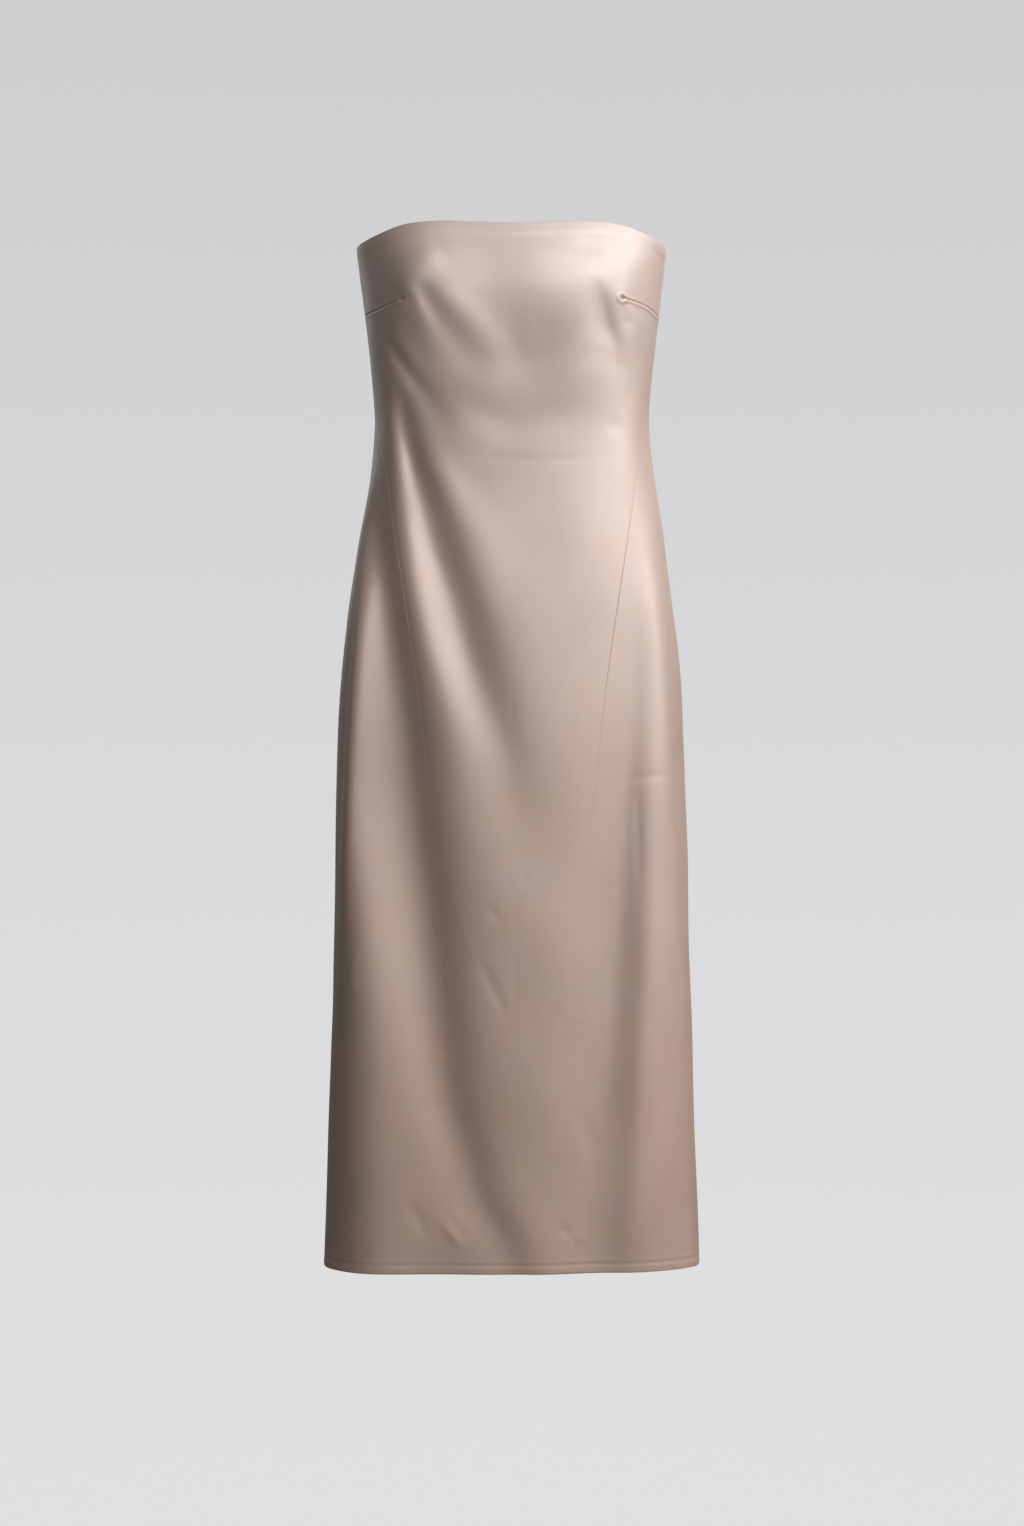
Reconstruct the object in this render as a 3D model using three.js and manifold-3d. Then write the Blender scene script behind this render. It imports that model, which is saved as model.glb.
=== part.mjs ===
// A strapless column dress in satin, filled out as if worn, with open top and hem.
// Units are millimetres and +Z is up. The front faces -Y and the wearer's left is at +X.
// The origin is the middle of the top edge's ring, at the height of the side seams' top ends.
import * as THREE from "three";
import { mergeVertices } from "three/addons/utils/BufferGeometryUtils.js";
import Module from "manifold-3d";

const wasm = await Module();
wasm.setup();

// Cloth and seams
const CLOTH = 1.2; // the wall of one layer
const TURNED = 2.4; // the wall where the cloth is turned in on itself, at the hem and the top edge
const SEAM_GAP = 0.3; // between two pieces at a seam
const SIDE_SEAM_ANGLE = 0.17; // how far the side seams sit in front of the widest point, in radians

// Heights
const HEM_Z = -1027;
const HEM_TURN = 9;
const NECK_ZONE_Z = -60; // above this height the rows follow the top edge
const GORE_TOP_Z = -197; // where the side front pieces start, at the waist

// Rings of the dress: half the width, the depth in front and behind, and how square the ring is
const RINGS = [
  { z: 24, half: 157, front: 91, back: 93, squareFront: 2.3, squareBack: 2.1 },
  { z: 0, half: 157.5, front: 96, back: 92.5, squareFront: 2.3, squareBack: 2.1 },
  { z: -22, half: 155.5, front: 99, back: 91, squareFront: 2.3, squareBack: 2.1 },
  { z: -57, half: 151, front: 100, back: 88, squareFront: 2.3, squareBack: 2.1 },
  { z: -128, half: 143, front: 94, back: 80, squareFront: 2.2, squareBack: 2.1 },
  { z: -182, half: 140.5, front: 87, back: 75, squareFront: 2.1, squareBack: 2.1 },
  { z: -235, half: 145, front: 89, back: 80, squareFront: 2.1, squareBack: 2.1 },
  { z: -306, half: 156, front: 97, back: 97, squareFront: 2.1, squareBack: 2.1 },
  { z: -378, half: 165.5, front: 105, back: 112, squareFront: 2.1, squareBack: 2.1 },
  { z: -485, half: 173.5, front: 111, back: 119, squareFront: 2.1, squareBack: 2.1 },
  { z: -664, half: 178.5, front: 116, back: 118, squareFront: 2.1, squareBack: 2.1 },
  { z: -850, half: 182, front: 121, back: 119, squareFront: 2.1, squareBack: 2.1 },
  { z: HEM_Z, half: 187, front: 126, back: 123, squareFront: 2.1, squareBack: 2.1 },
];

// How far the top edge stands above the side seams' ends, by the distance from the middle
const NECKLINE_FRONT = [
  { x: 0, lift: 13.6 },
  { x: 36, lift: 14.8 },
  { x: 71, lift: 16.3 },
  { x: 104, lift: 14.2 },
  { x: 132, lift: 7 },
  { x: 157, lift: 0 },
];
const NECKLINE_BACK = [
  { x: 0, lift: -8 },
  { x: 80, lift: -6 },
  { x: 157, lift: 0 },
];

// The seam between the front and each side front piece: it leaves the side seam at the waist
const FRONT_SEAM = [
  { z: GORE_TOP_Z, x: 138.7 },
  { z: -207, x: 133 },
  { z: -222, x: 126 },
  { z: -256, x: 118.5 },
  { z: -322, x: 108.5 },
  { z: -388, x: 99.5 },
  { z: -450, x: 91.5 },
  { z: -520, x: 84 },
  { z: -612, x: 75.5 },
  { z: -740, x: 68 },
  { z: -880, x: 64 },
  { z: HEM_Z, x: 62 },
];

// The fullness that each bust dart gives: a round swell at the end of the dart
const BUST = { x: 84, z: -42, swell: 14, radius: 50, below: 82 };

// The largest folds: soft troughs that run down the cloth, each along its own line.
// atEnd is the share of the depth that is left at the lower end of the line.
const FOLDS = [
  {
    face: "front", depth: 11, width: 21, fadeIn: 150, fadeOut: 60, atEnd: 0.35,
    line: [
      { z: -205, x: -128 }, { z: -357, x: -127 }, { z: -510, x: -107 }, { z: -714, x: -83 },
      { z: -867, x: -62 }, { z: -969, x: -34 }, { z: HEM_Z, x: -4 },
    ],
  },
  {
    face: "front", depth: 6, width: 22, fadeIn: 150, fadeOut: 120, atEnd: 0.35,
    line: [
      { z: -215, x: 129 }, { z: -357, x: 127 }, { z: -510, x: 113 }, { z: -714, x: 98 },
      { z: -867, x: 85 }, { z: HEM_Z, x: 92 },
    ],
  },
  {
    face: "front", depth: 6, width: 15, fadeIn: 80, fadeOut: 90, atEnd: 0,
    line: [
      { z: -175, x: -108 }, { z: -255, x: -86 }, { z: -357, x: -56 }, { z: -459, x: -25 },
      { z: -520, x: -5 },
    ],
  },
  {
    face: "back", depth: 8, width: 24, fadeIn: 130, fadeOut: 130, atEnd: 0.35,
    line: [{ z: -395, x: 96 }, { z: -600, x: 84 }, { z: -820, x: 66 }, { z: HEM_Z, x: 52 }],
  },
  {
    face: "back", depth: 6, width: 21, fadeIn: 140, fadeOut: 160, atEnd: 0.35,
    line: [{ z: -430, x: -90 }, { z: -640, x: -98 }, { z: -850, x: -84 }, { z: HEM_Z, x: -88 }],
  },
];

// Zip: the slider at the top of the middle back, its pull, and a tape on each side of the seam.
// Depths of the slider are measured from the outer face of the cloth, outwards.
const SLIDER = {
  top: -15, neckHeight: 8, neckWidth: 2, neckClear: 0.35, bodyWidth: 7, bodyHeight: 10,
  bodyInner: -6.4, bodyOuter: -4, neckRoot: 0.4, archOuter: 3, slotInner: 0.6, slotOuter: 2.2, leg: 1.8,
  corner: 0.6,
};
const PULL = {
  length: 24, width: 5.4, thickness: 0.9, bar: 1, eyeHalf: 1.5, eyeLength: 6, shoulder: 2.2, corner: 1,
  clear: 0.3,
};
const TAPE = {
  end: -335, width: 12, thickness: 1, bead: 1.8, beadWidth: 1.7, step: 0.4, clear: 0.55, below: 0.4,
};
const SLIT = { clear: 0.4, step: 0.3 }; // above and below the slider's neck, and where the seam opens for it
const BACK_TURN_Z = -18; // where the turned-in top edge ends at the middle back

const neckBottom = SLIDER.top - SLIDER.neckHeight;
const sliderMiddle = SLIDER.top - SLIDER.neckHeight / 2;
const tapeTop = sliderMiddle - SLIDER.bodyHeight / 2 - TAPE.below;

// Rows of the cloth, from the top edge down. Above the neck zone's end a row lies at a part of the
// way from there to the top edge, so that it follows the edge. Below it a row has one height.
const FRONT_TOP_ROWS = [
  { part: 1, wall: TURNED },
  { part: 0.86, wall: TURNED },
  { part: 0.82, wall: CLOTH },
  { part: 0.42, wall: CLOTH },
  { part: 0, wall: CLOTH },
];
const BACK_TOP_ROWS = [
  { z: NECKLINE_BACK[0].lift, wall: TURNED },
  { z: SLIDER.top + SLIT.clear + SLIT.step, wall: TURNED },
  { z: SLIDER.top + SLIT.clear, wall: TURNED },
  { z: BACK_TURN_Z, wall: TURNED },
  { z: BACK_TURN_Z - 1, wall: CLOTH },
  { z: neckBottom - SLIT.clear, wall: CLOTH },
  { z: neckBottom - SLIT.clear - SLIT.step, wall: CLOTH },
  { z: tapeTop, wall: CLOTH },
  { z: -40, wall: CLOTH },
  { z: NECK_ZONE_Z, wall: CLOTH },
];
const BODICE_LEVELS = [-86, -112, -138, -164, -184, GORE_TOP_Z + 2];
const SKIRT_LEVELS = [
  GORE_TOP_Z, -207, -222, -242, -268, -300, TAPE.end, -372, -410, -450, -495, -540, -590, -640,
  -690, -740, -790, -840, -890, -935, -975, HEM_Z + HEM_TURN + 3,
];
const HEM_LEVELS = [HEM_Z + HEM_TURN, HEM_Z];

const FRONT_COLUMNS = 24;
const SIDE_FRONT_COLUMNS = 8;
const BACK_COLUMNS = 11;

const RIGHT_SIDE = SIDE_SEAM_ANGLE;
const LEFT_SIDE = Math.PI - SIDE_SEAM_ANGLE;
const MIDDLE_BACK = 1.5 * Math.PI;
const ANGLE_STEP = 0.01; // for slopes and lengths along a ring, in radians
const ROUNDING = 0.01; // two heights closer than this are the same

// A smooth curve through the rows of a table, read at one value of its first column
function curve(table, column, value, at) {
  const rows = [...table].sort((a, b) => a[column] - b[column]);
  const last = rows.length - 1;
  if (at <= rows[0][column]) return rows[0][value];
  if (at >= rows[last][column]) return rows[last][value];
  const i = rows.findIndex((row, k) => k < last && at <= rows[k + 1][column]);
  const slope = (k) => {
    const low = rows[Math.max(k - 1, 0)];
    const high = rows[Math.min(k + 1, last)];
    return (high[value] - low[value]) / (high[column] - low[column]);
  };
  const span = rows[i + 1][column] - rows[i][column];
  const s = (at - rows[i][column]) / span;
  const s2 = s * s;
  const s3 = s2 * s;
  return (
    rows[i][value] * (2 * s3 - 3 * s2 + 1) +
    slope(i) * span * (s3 - 2 * s2 + s) +
    rows[i + 1][value] * (3 * s2 - 2 * s3) +
    slope(i + 1) * span * (s3 - s2)
  );
}

const ease = (s) => {
  const k = Math.min(1, Math.max(0, s));
  return k * k * (3 - 2 * k);
};

const signedPower = (value, power) => Math.sign(value) * Math.abs(value) ** power;

// The ring before folds: angle 0 is the wearer's right side, a quarter turn on is the middle front
function plain(angle, z) {
  const isFront = Math.sin(angle) >= 0;
  const power = 2 / curve(RINGS, "z", isFront ? "squareFront" : "squareBack", z);
  const depth = curve(RINGS, "z", isFront ? "front" : "back", z);
  return new THREE.Vector3(
    -curve(RINGS, "z", "half", z) * signedPower(Math.cos(angle), power),
    -depth * signedPower(Math.sin(angle), power),
    z,
  );
}

function normalOf(surface, angle, z) {
  const around = surface(angle + ANGLE_STEP, z).sub(surface(angle - ANGLE_STEP, z));
  const up = surface(angle, z + 1).sub(surface(angle, z - 1));
  return around.cross(up).normalize();
}

// How far the cloth swells over the end of each bust dart
function bustSwell(point) {
  if (point.y > 0) return 0;
  const across = (Math.abs(point.x) - BUST.x) / BUST.radius;
  const down = (point.z - BUST.z) / (point.z > BUST.z ? BUST.radius : BUST.below);
  return BUST.swell * Math.exp(-(across * across) - down * down);
}

// How deep the folds press into the cloth at one place
function foldDepth(point) {
  const face = point.y < 0 ? "front" : "back";
  let depth = 0;
  for (const fold of FOLDS.filter((one) => one.face === face)) {
    const top = fold.line[0].z;
    const bottom = fold.line[fold.line.length - 1].z;
    const fade = fold.atEnd + (1 - fold.atEnd) * ease((point.z - bottom) / fold.fadeOut);
    const across = (point.x - curve(fold.line, "z", "x", point.z)) / fold.width;
    depth += fold.depth * ease((top - point.z) / fold.fadeIn) * fade * Math.exp(-across * across);
  }
  return depth;
}

// The outer face of the cloth
function outer(angle, z) {
  const point = plain(angle, z);
  return point.clone().addScaledVector(normalOf(plain, angle, z), bustSwell(point) - foldDepth(point));
}

// A point under the outer face, deeper into the hollow
function under(angle, z, depth) {
  return outer(angle, z).addScaledVector(normalOf(outer, angle, z), -depth);
}

function neckline(angle) {
  const table = Math.sin(angle) >= 0 ? NECKLINE_FRONT : NECKLINE_BACK;
  return curve(table, "x", "lift", Math.abs(plain(angle, 0).x));
}

// A row that lies at a part of the way from the neck zone's end to the top edge
function followingRow({ part, wall }) {
  return { at: (angle) => NECK_ZONE_Z + part * (neckline(angle) - NECK_ZONE_Z), wall };
}

const levelRow = (wall) => (z) => ({ at: () => z, wall });

const backPart = ({ z, wall }) => ({
  part: (z - NECK_ZONE_Z) / (NECKLINE_BACK[0].lift - NECK_ZONE_Z),
  wall,
});

const skirtRows = [...SKIRT_LEVELS.map(levelRow(CLOTH)), ...HEM_LEVELS.map(levelRow(TURNED))];
const lowerRows = [...BODICE_LEVELS.map(levelRow(CLOTH)), ...skirtRows];
const frontRows = [...FRONT_TOP_ROWS.map(followingRow), ...lowerRows];
const backRows = [...BACK_TOP_ROWS.map(backPart).map(followingRow), ...lowerRows];

// The angle at which the front of a ring reaches a distance from the middle
function angleAt(x, z) {
  const half = curve(RINGS, "z", "half", z);
  return Math.acos((x / half) ** (curve(RINGS, "z", "squareFront", z) / 2));
}

const rightFrontSeam = (z) =>
  z > GORE_TOP_Z ? RIGHT_SIDE : Math.max(RIGHT_SIDE, angleAt(curve(FRONT_SEAM, "z", "x", z), z));
const leftFrontSeam = (z) => Math.PI - rightFrontSeam(z);

// Turns a distance along the ring into an angle
function arcAngle(distance, angle, z) {
  const chord = outer(angle + ANGLE_STEP, z).distanceTo(outer(angle - ANGLE_STEP, z));
  return (distance * 2 * ANGLE_STEP) / chord;
}

const halfGap = () => SEAM_GAP / 2;

// How far each back piece stays from the middle: it opens round the slider's neck
function backOpening(z) {
  const reach = SLIT.clear + SLIT.step / 2;
  const open = z < SLIDER.top + reach && z > neckBottom - reach;
  return open ? SLIDER.neckWidth / 2 + SLIDER.neckClear : halfGap();
}

// A closed wall from a grid of outer points and a grid of inner points
function wallBetween(outside, inside) {
  const rows = outside.length;
  const columns = outside[0].length;
  const faces = [];
  const index = (layer, r, c) => (layer * rows + r) * columns + c;
  const quad = (a, b, c, d) => faces.push(a, b, c, a, c, d);
  for (let r = 0; r < rows - 1; r += 1) {
    for (let c = 0; c < columns - 1; c += 1) {
      quad(index(0, r, c), index(0, r + 1, c), index(0, r + 1, c + 1), index(0, r, c + 1));
      quad(index(1, r, c), index(1, r, c + 1), index(1, r + 1, c + 1), index(1, r + 1, c));
    }
  }
  const right = columns - 1;
  for (let r = 0; r < rows - 1; r += 1) {
    quad(index(0, r, 0), index(1, r, 0), index(1, r + 1, 0), index(0, r + 1, 0));
    quad(index(0, r, right), index(0, r + 1, right), index(1, r + 1, right), index(1, r, right));
  }
  const bottom = rows - 1;
  for (let c = 0; c < columns - 1; c += 1) {
    quad(index(0, 0, c), index(0, 0, c + 1), index(1, 0, c + 1), index(1, 0, c));
    quad(index(0, bottom, c), index(1, bottom, c), index(1, bottom, c + 1), index(0, bottom, c + 1));
  }
  const points = [...outside.flat(), ...inside.flat()];
  const geometry = new THREE.BufferGeometry();
  geometry.setAttribute("position", new THREE.Float32BufferAttribute(points.flatMap((p) => p.toArray()), 3));
  geometry.setIndex(faces);
  return geometry;
}

// A piece of cloth between two seams. Each seam has its angle and its gap at every height.
function clothPiece(rows, start, end, columns) {
  const outside = [];
  const inside = [];
  for (const row of rows) {
    const level = row.at(MIDDLE_BACK);
    const from = start.angle(level) + arcAngle(start.gap(level), start.angle(level), level);
    const to = end.angle(level) - arcAngle(end.gap(level), end.angle(level), level);
    const angles = Array.from({ length: columns + 1 }, (_, c) => from + ((to - from) * c) / columns);
    outside.push(angles.map((angle) => outer(angle, row.at(angle))));
    inside.push(angles.map((angle) => under(angle, row.at(angle), row.wall)));
  }
  return wallBetween(outside, inside);
}

const SATIN = { color: 0xbaa59d, roughness: 0.36, metalness: 0 };
const TAPE_CLOTH = { color: 0xa8938a, roughness: 0.8, metalness: 0 };
const LACQUER = { color: 0xb09a90, roughness: 0.3, metalness: 0.6 };

function named(name, geometry, finish) {
  const mesh = new THREE.Mesh(geometry, new THREE.MeshStandardMaterial(finish));
  geometry.computeVertexNormals();
  mesh.name = name;
  return mesh;
}

// The bodice and the middle of the skirt in one piece, from side seam to side seam above the waist
function front() {
  const right = { angle: rightFrontSeam, gap: halfGap };
  const left = { angle: leftFrontSeam, gap: halfGap };
  return named("front", clothPiece(frontRows, right, left, FRONT_COLUMNS), SATIN);
}

function sideFront(side) {
  const seams = {
    right: [{ angle: () => RIGHT_SIDE, gap: halfGap }, { angle: rightFrontSeam, gap: halfGap }],
    left: [{ angle: leftFrontSeam, gap: halfGap }, { angle: () => LEFT_SIDE, gap: halfGap }],
  };
  return named(`side_front_${side}`, clothPiece(skirtRows, ...seams[side], SIDE_FRONT_COLUMNS), SATIN);
}

function back(side) {
  const middle = { angle: () => MIDDLE_BACK, gap: backOpening };
  const seams = {
    left: [{ angle: () => LEFT_SIDE, gap: halfGap }, middle],
    right: [middle, { angle: () => 2 * Math.PI + RIGHT_SIDE, gap: halfGap }],
  };
  return named(`back_${side}`, clothPiece(backRows, ...seams[side], BACK_COLUMNS), SATIN);
}

// A zip tape inside the back, with its half of the closed chain as a bead along the seam
function zipTape(side) {
  const profile = [
    { across: SEAM_GAP / 2, deep: TAPE.bead },
    { across: TAPE.beadWidth, deep: TAPE.bead },
    { across: TAPE.beadWidth + TAPE.step, deep: TAPE.thickness },
    { across: TAPE.width, deep: TAPE.thickness },
  ];
  const turn = side === "left" ? -1 : 1;
  const columns = side === "left" ? [...profile].reverse() : profile;
  const level = (row) => row.at(MIDDLE_BACK);
  const rows = backRows.filter((row) => level(row) < tapeTop + ROUNDING && level(row) > TAPE.end - ROUNDING);
  const layer = (depthOf) =>
    rows.map((row) =>
      columns.map((column) => {
        const angle = MIDDLE_BACK + turn * arcAngle(column.across, MIDDLE_BACK, level(row));
        return under(angle, row.at(angle), CLOTH + TAPE.clear + depthOf(column));
      }),
    );
  return named(`zip_tape_${side}`, wallBetween(layer(() => 0), layer((column) => column.deep)), TAPE_CLOTH);
}

function solidOf(geometry) {
  geometry.deleteAttribute("normal");
  geometry.deleteAttribute("uv");
  const merged = mergeVertices(geometry);
  const vertProperties = merged.getAttribute("position").array;
  const triVerts = new Uint32Array(merged.index.array);
  return new wasm.Manifold(new wasm.Mesh({ numProp: 3, vertProperties, triVerts }));
}

function geometryOf(solid) {
  const mesh = solid.getMesh();
  const geometry = new THREE.BufferGeometry();
  geometry.setAttribute("position", new THREE.Float32BufferAttribute(Array.from(mesh.vertProperties), 3));
  geometry.setIndex(Array.from(mesh.triVerts));
  return geometry;
}

// Draws a rectangle with round corners, anticlockwise from its lower left
function roundedRectangle(path, left, bottom, right, top, corner) {
  path.moveTo(left + corner, bottom);
  path.absarc(right - corner, bottom + corner, corner, -Math.PI / 2, 0, false);
  path.absarc(right - corner, top - corner, corner, 0, Math.PI / 2, false);
  path.absarc(left + corner, top - corner, corner, Math.PI / 2, Math.PI, false);
  path.absarc(left + corner, bottom + corner, corner, Math.PI, 1.5 * Math.PI, false);
  return path;
}

// The slider: a plate inside, a neck through the seam, and an arch outside that carries the pull
function zipSlider() {
  const depthBasis = [new THREE.Vector3(0, 1, 0), new THREE.Vector3(0, 0, 1), new THREE.Vector3(1, 0, 0)];
  const side = roundedRectangle(
    new THREE.Shape(), SLIDER.bodyOuter - SLIDER.neckRoot, neckBottom, SLIDER.archOuter, SLIDER.top,
    SLIDER.corner,
  );
  side.holes.push(
    roundedRectangle(
      new THREE.Path(), SLIDER.slotInner, neckBottom + SLIDER.leg, SLIDER.slotOuter, SLIDER.top - SLIDER.leg,
      SLIDER.corner,
    ),
  );
  const upright = new THREE.ExtrudeGeometry(side, {
    depth: SLIDER.neckWidth, bevelEnabled: false, curveSegments: 5,
  });
  upright.translate(0, 0, -SLIDER.neckWidth / 2);
  upright.applyMatrix4(new THREE.Matrix4().makeBasis(...depthBasis));
  const half = SLIDER.bodyWidth / 2;
  const plateOutline = roundedRectangle(
    new THREE.Shape(), -half, sliderMiddle - SLIDER.bodyHeight / 2, half, sliderMiddle + SLIDER.bodyHeight / 2,
    half / 2,
  );
  const plate = new THREE.ExtrudeGeometry(plateOutline, {
    depth: SLIDER.bodyOuter - SLIDER.bodyInner, bevelEnabled: false, curveSegments: 5,
  });
  plate.rotateX(Math.PI / 2);
  plate.translate(0, SLIDER.bodyOuter, 0);
  return named("zip_slider", geometryOf(solidOf(upright).add(solidOf(plate))), LACQUER);
}

// The pull: a drop-shaped tab. It turns about the middle of the bar at the top of its long eye.
function zipPull() {
  const top = PULL.bar / 2;
  const round = PULL.width / 2;
  const outline = new THREE.Shape();
  outline.moveTo(-PULL.shoulder, top - PULL.corner);
  outline.absarc(-PULL.shoulder + PULL.corner, top - PULL.corner, PULL.corner, Math.PI, Math.PI / 2, true);
  outline.absarc(PULL.shoulder - PULL.corner, top - PULL.corner, PULL.corner, Math.PI / 2, 0, true);
  outline.absarc(0, top - PULL.length + round, round, 0, -Math.PI, true);
  outline.closePath();
  const eyeBottom = -PULL.bar / 2 - PULL.eyeLength;
  outline.holes.push(
    roundedRectangle(new THREE.Path(), -PULL.eyeHalf, eyeBottom, PULL.eyeHalf, -PULL.bar / 2, PULL.corner / 2),
  );
  const tab = new THREE.ExtrudeGeometry(outline, {
    depth: PULL.thickness, bevelEnabled: false, curveSegments: 8,
  });
  tab.translate(0, 0, -PULL.thickness / 2);
  tab.rotateX(Math.PI / 2);
  return named("zip_pull", tab, LACQUER);
}

const dress = new THREE.Group();
dress.add(front(), sideFront("right"), sideFront("left"), back("left"), back("right"));
dress.add(zipTape("left"), zipTape("right"));

const zip = new THREE.Group();
zip.position.y = outer(MIDDLE_BACK, sliderMiddle).y;
const pull = zipPull();
pull.position.y = (SLIDER.slotInner + SLIDER.slotOuter) / 2;
pull.position.z = neckBottom + SLIDER.leg + PULL.clear + PULL.bar / 2;
zip.add(zipSlider(), pull);
dress.add(zip);

export default dress;
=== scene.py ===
"""A strapless satin column dress, filled out as if worn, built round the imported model."""
import math
from contextlib import contextmanager

import bmesh
import bpy
import numpy as np
from bpy.props import FloatProperty, FloatVectorProperty, PointerProperty
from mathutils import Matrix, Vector


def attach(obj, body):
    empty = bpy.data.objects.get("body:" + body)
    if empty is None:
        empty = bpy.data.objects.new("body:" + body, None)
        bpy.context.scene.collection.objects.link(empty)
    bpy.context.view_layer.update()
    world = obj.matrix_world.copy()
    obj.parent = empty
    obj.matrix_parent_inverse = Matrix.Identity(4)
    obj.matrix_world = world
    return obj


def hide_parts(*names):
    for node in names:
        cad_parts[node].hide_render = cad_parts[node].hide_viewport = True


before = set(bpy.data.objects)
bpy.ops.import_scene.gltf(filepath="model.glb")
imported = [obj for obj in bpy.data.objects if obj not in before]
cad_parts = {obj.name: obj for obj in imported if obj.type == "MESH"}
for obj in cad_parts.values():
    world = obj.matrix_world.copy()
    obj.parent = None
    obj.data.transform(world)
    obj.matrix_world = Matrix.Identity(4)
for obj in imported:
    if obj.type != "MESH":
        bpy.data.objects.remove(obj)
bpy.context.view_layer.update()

bl_info = {
    "name": "Strapless satin dress",
    "version": (1, 0, 0),
    "blender": (4, 5, 0),
    "location": "3D View > Sidebar > Dress",
    "description": "Cuts, shapes and finishes a strapless column dress on its own form",
    "category": "Object",
}

MM = 0.001

# The form, in millimetres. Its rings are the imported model's, but a little flatter in front, where
# the fullness beside the middle is added to them: height, half the width, depth in front, depth
# behind, how square the front is
RINGS = np.array([
    (24, 157, 84.5, 93, 2.3), (0, 157.5, 90.5, 92.5, 2.3), (-22, 155.5, 95.5, 91, 2.3),
    (-57, 151, 98.5, 88, 2.3), (-128, 143, 93.5, 80, 2.2), (-182, 140.5, 90, 75, 2.1),
    (-235, 145, 91, 80, 2.1), (-306, 156, 97, 97, 2.1), (-378, 165.5, 104, 112, 2.1),
    (-485, 173.5, 111, 119, 2.1), (-664, 178.5, 116, 118, 2.1), (-850, 182, 121, 119, 2.1),
    (-1027, 187, 126, 123, 2.1),
])
SQUARE_BACK = 2.1
# The top edge: distance from the middle, how far it stands above the side seams' ends
TOP_FRONT = np.array([(0, 13.6), (36, 14.8), (71, 16.3), (104, 14.2), (132, 7), (157, 0)])
TOP_BACK = np.array([(0, -8), (80, -6), (157, 0)])
# The curved seams of the skirt: height, distance from the middle
FRONT_SEAM = np.array([
    (-197, 138.7), (-207, 133), (-222, 126), (-256, 118.5), (-322, 108.5), (-388, 99.5),
    (-450, 91.5), (-520, 84), (-612, 75.5), (-740, 68), (-880, 64), (-1027, 62),
])
HEM = -1027  # the height of the hem
HEM_ROW = 9  # the row of topstitching, above the hem's edge
GORE_TOP = -197  # the height of the waist, where the side front pieces begin
EDGE_ZONE = -60  # above this height the rows of the cloth follow the top edge
ABOVE_ALL = 30  # higher than the dress
SIDE_SEAM_ANGLE = 0.17  # how far the side seams sit in front of the widest point, in radians
MIDDLE_BACK = 1.5 * math.pi  # the turn of the middle back seam
# How much fuller than the plain ring the front is beside the middle, over the bust, hips and thighs:
# height, distance from the middle, fullness, reach towards the middle, reach towards the side
FULLNESS = np.array([
    (24, 98, 4, 56, 42), (-10, 98, 7.4, 56, 36), (-42, 97, 9.6, 56, 29), (-80, 94, 9, 56, 30),
    (-130, 93, 7, 54, 36), (-182, 97, 6, 52, 38), (-235, 105, 6.5, 52, 34), (-306, 118, 8, 54, 30),
    (-400, 136, 10, 56, 26), (-600, 150, 12, 56, 22), (-850, 160, 16, 52, 19), (-1027, 166, 18, 52, 17),
])
ARC = 150  # millimetres of cloth for each radian round the dress, for what is placed by its turn
SIDE_REACH = 130  # how far round from a side's middle its own creases reach, in millimetres of cloth
SEAM_STRIP = 0.0012  # the narrow strip of faces beside a seam's fold, as a share of the piece's width
FOLD_CLEARANCE = 0.02  # what each turned edge keeps from its seam
# Lower down the seams are pressed shut and the dent beside them fades out: the height where each
# begins or ends, the height that it takes, and how far each turned edge is pressed
GAP_CLOSES, GAP_CLOSING, GAP_PRESS = -330, 400, 0.34
DENT_ENDS, DENT_FADES = -900, 500
SLIT_END = -31  # where the middle back seam, open round the slider's neck, is closed again
EDGE_REACH = 30  # how far from the top edge and the hem the cloth makes room for its own turn
STILL = 1e-6  # cloth less deep than this lies on the outer face
FACE_STEP = 97  # one face in so many is looked at to see which way a mesh faces
WAVE_SEED, WAVES = 41, 14

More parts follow.
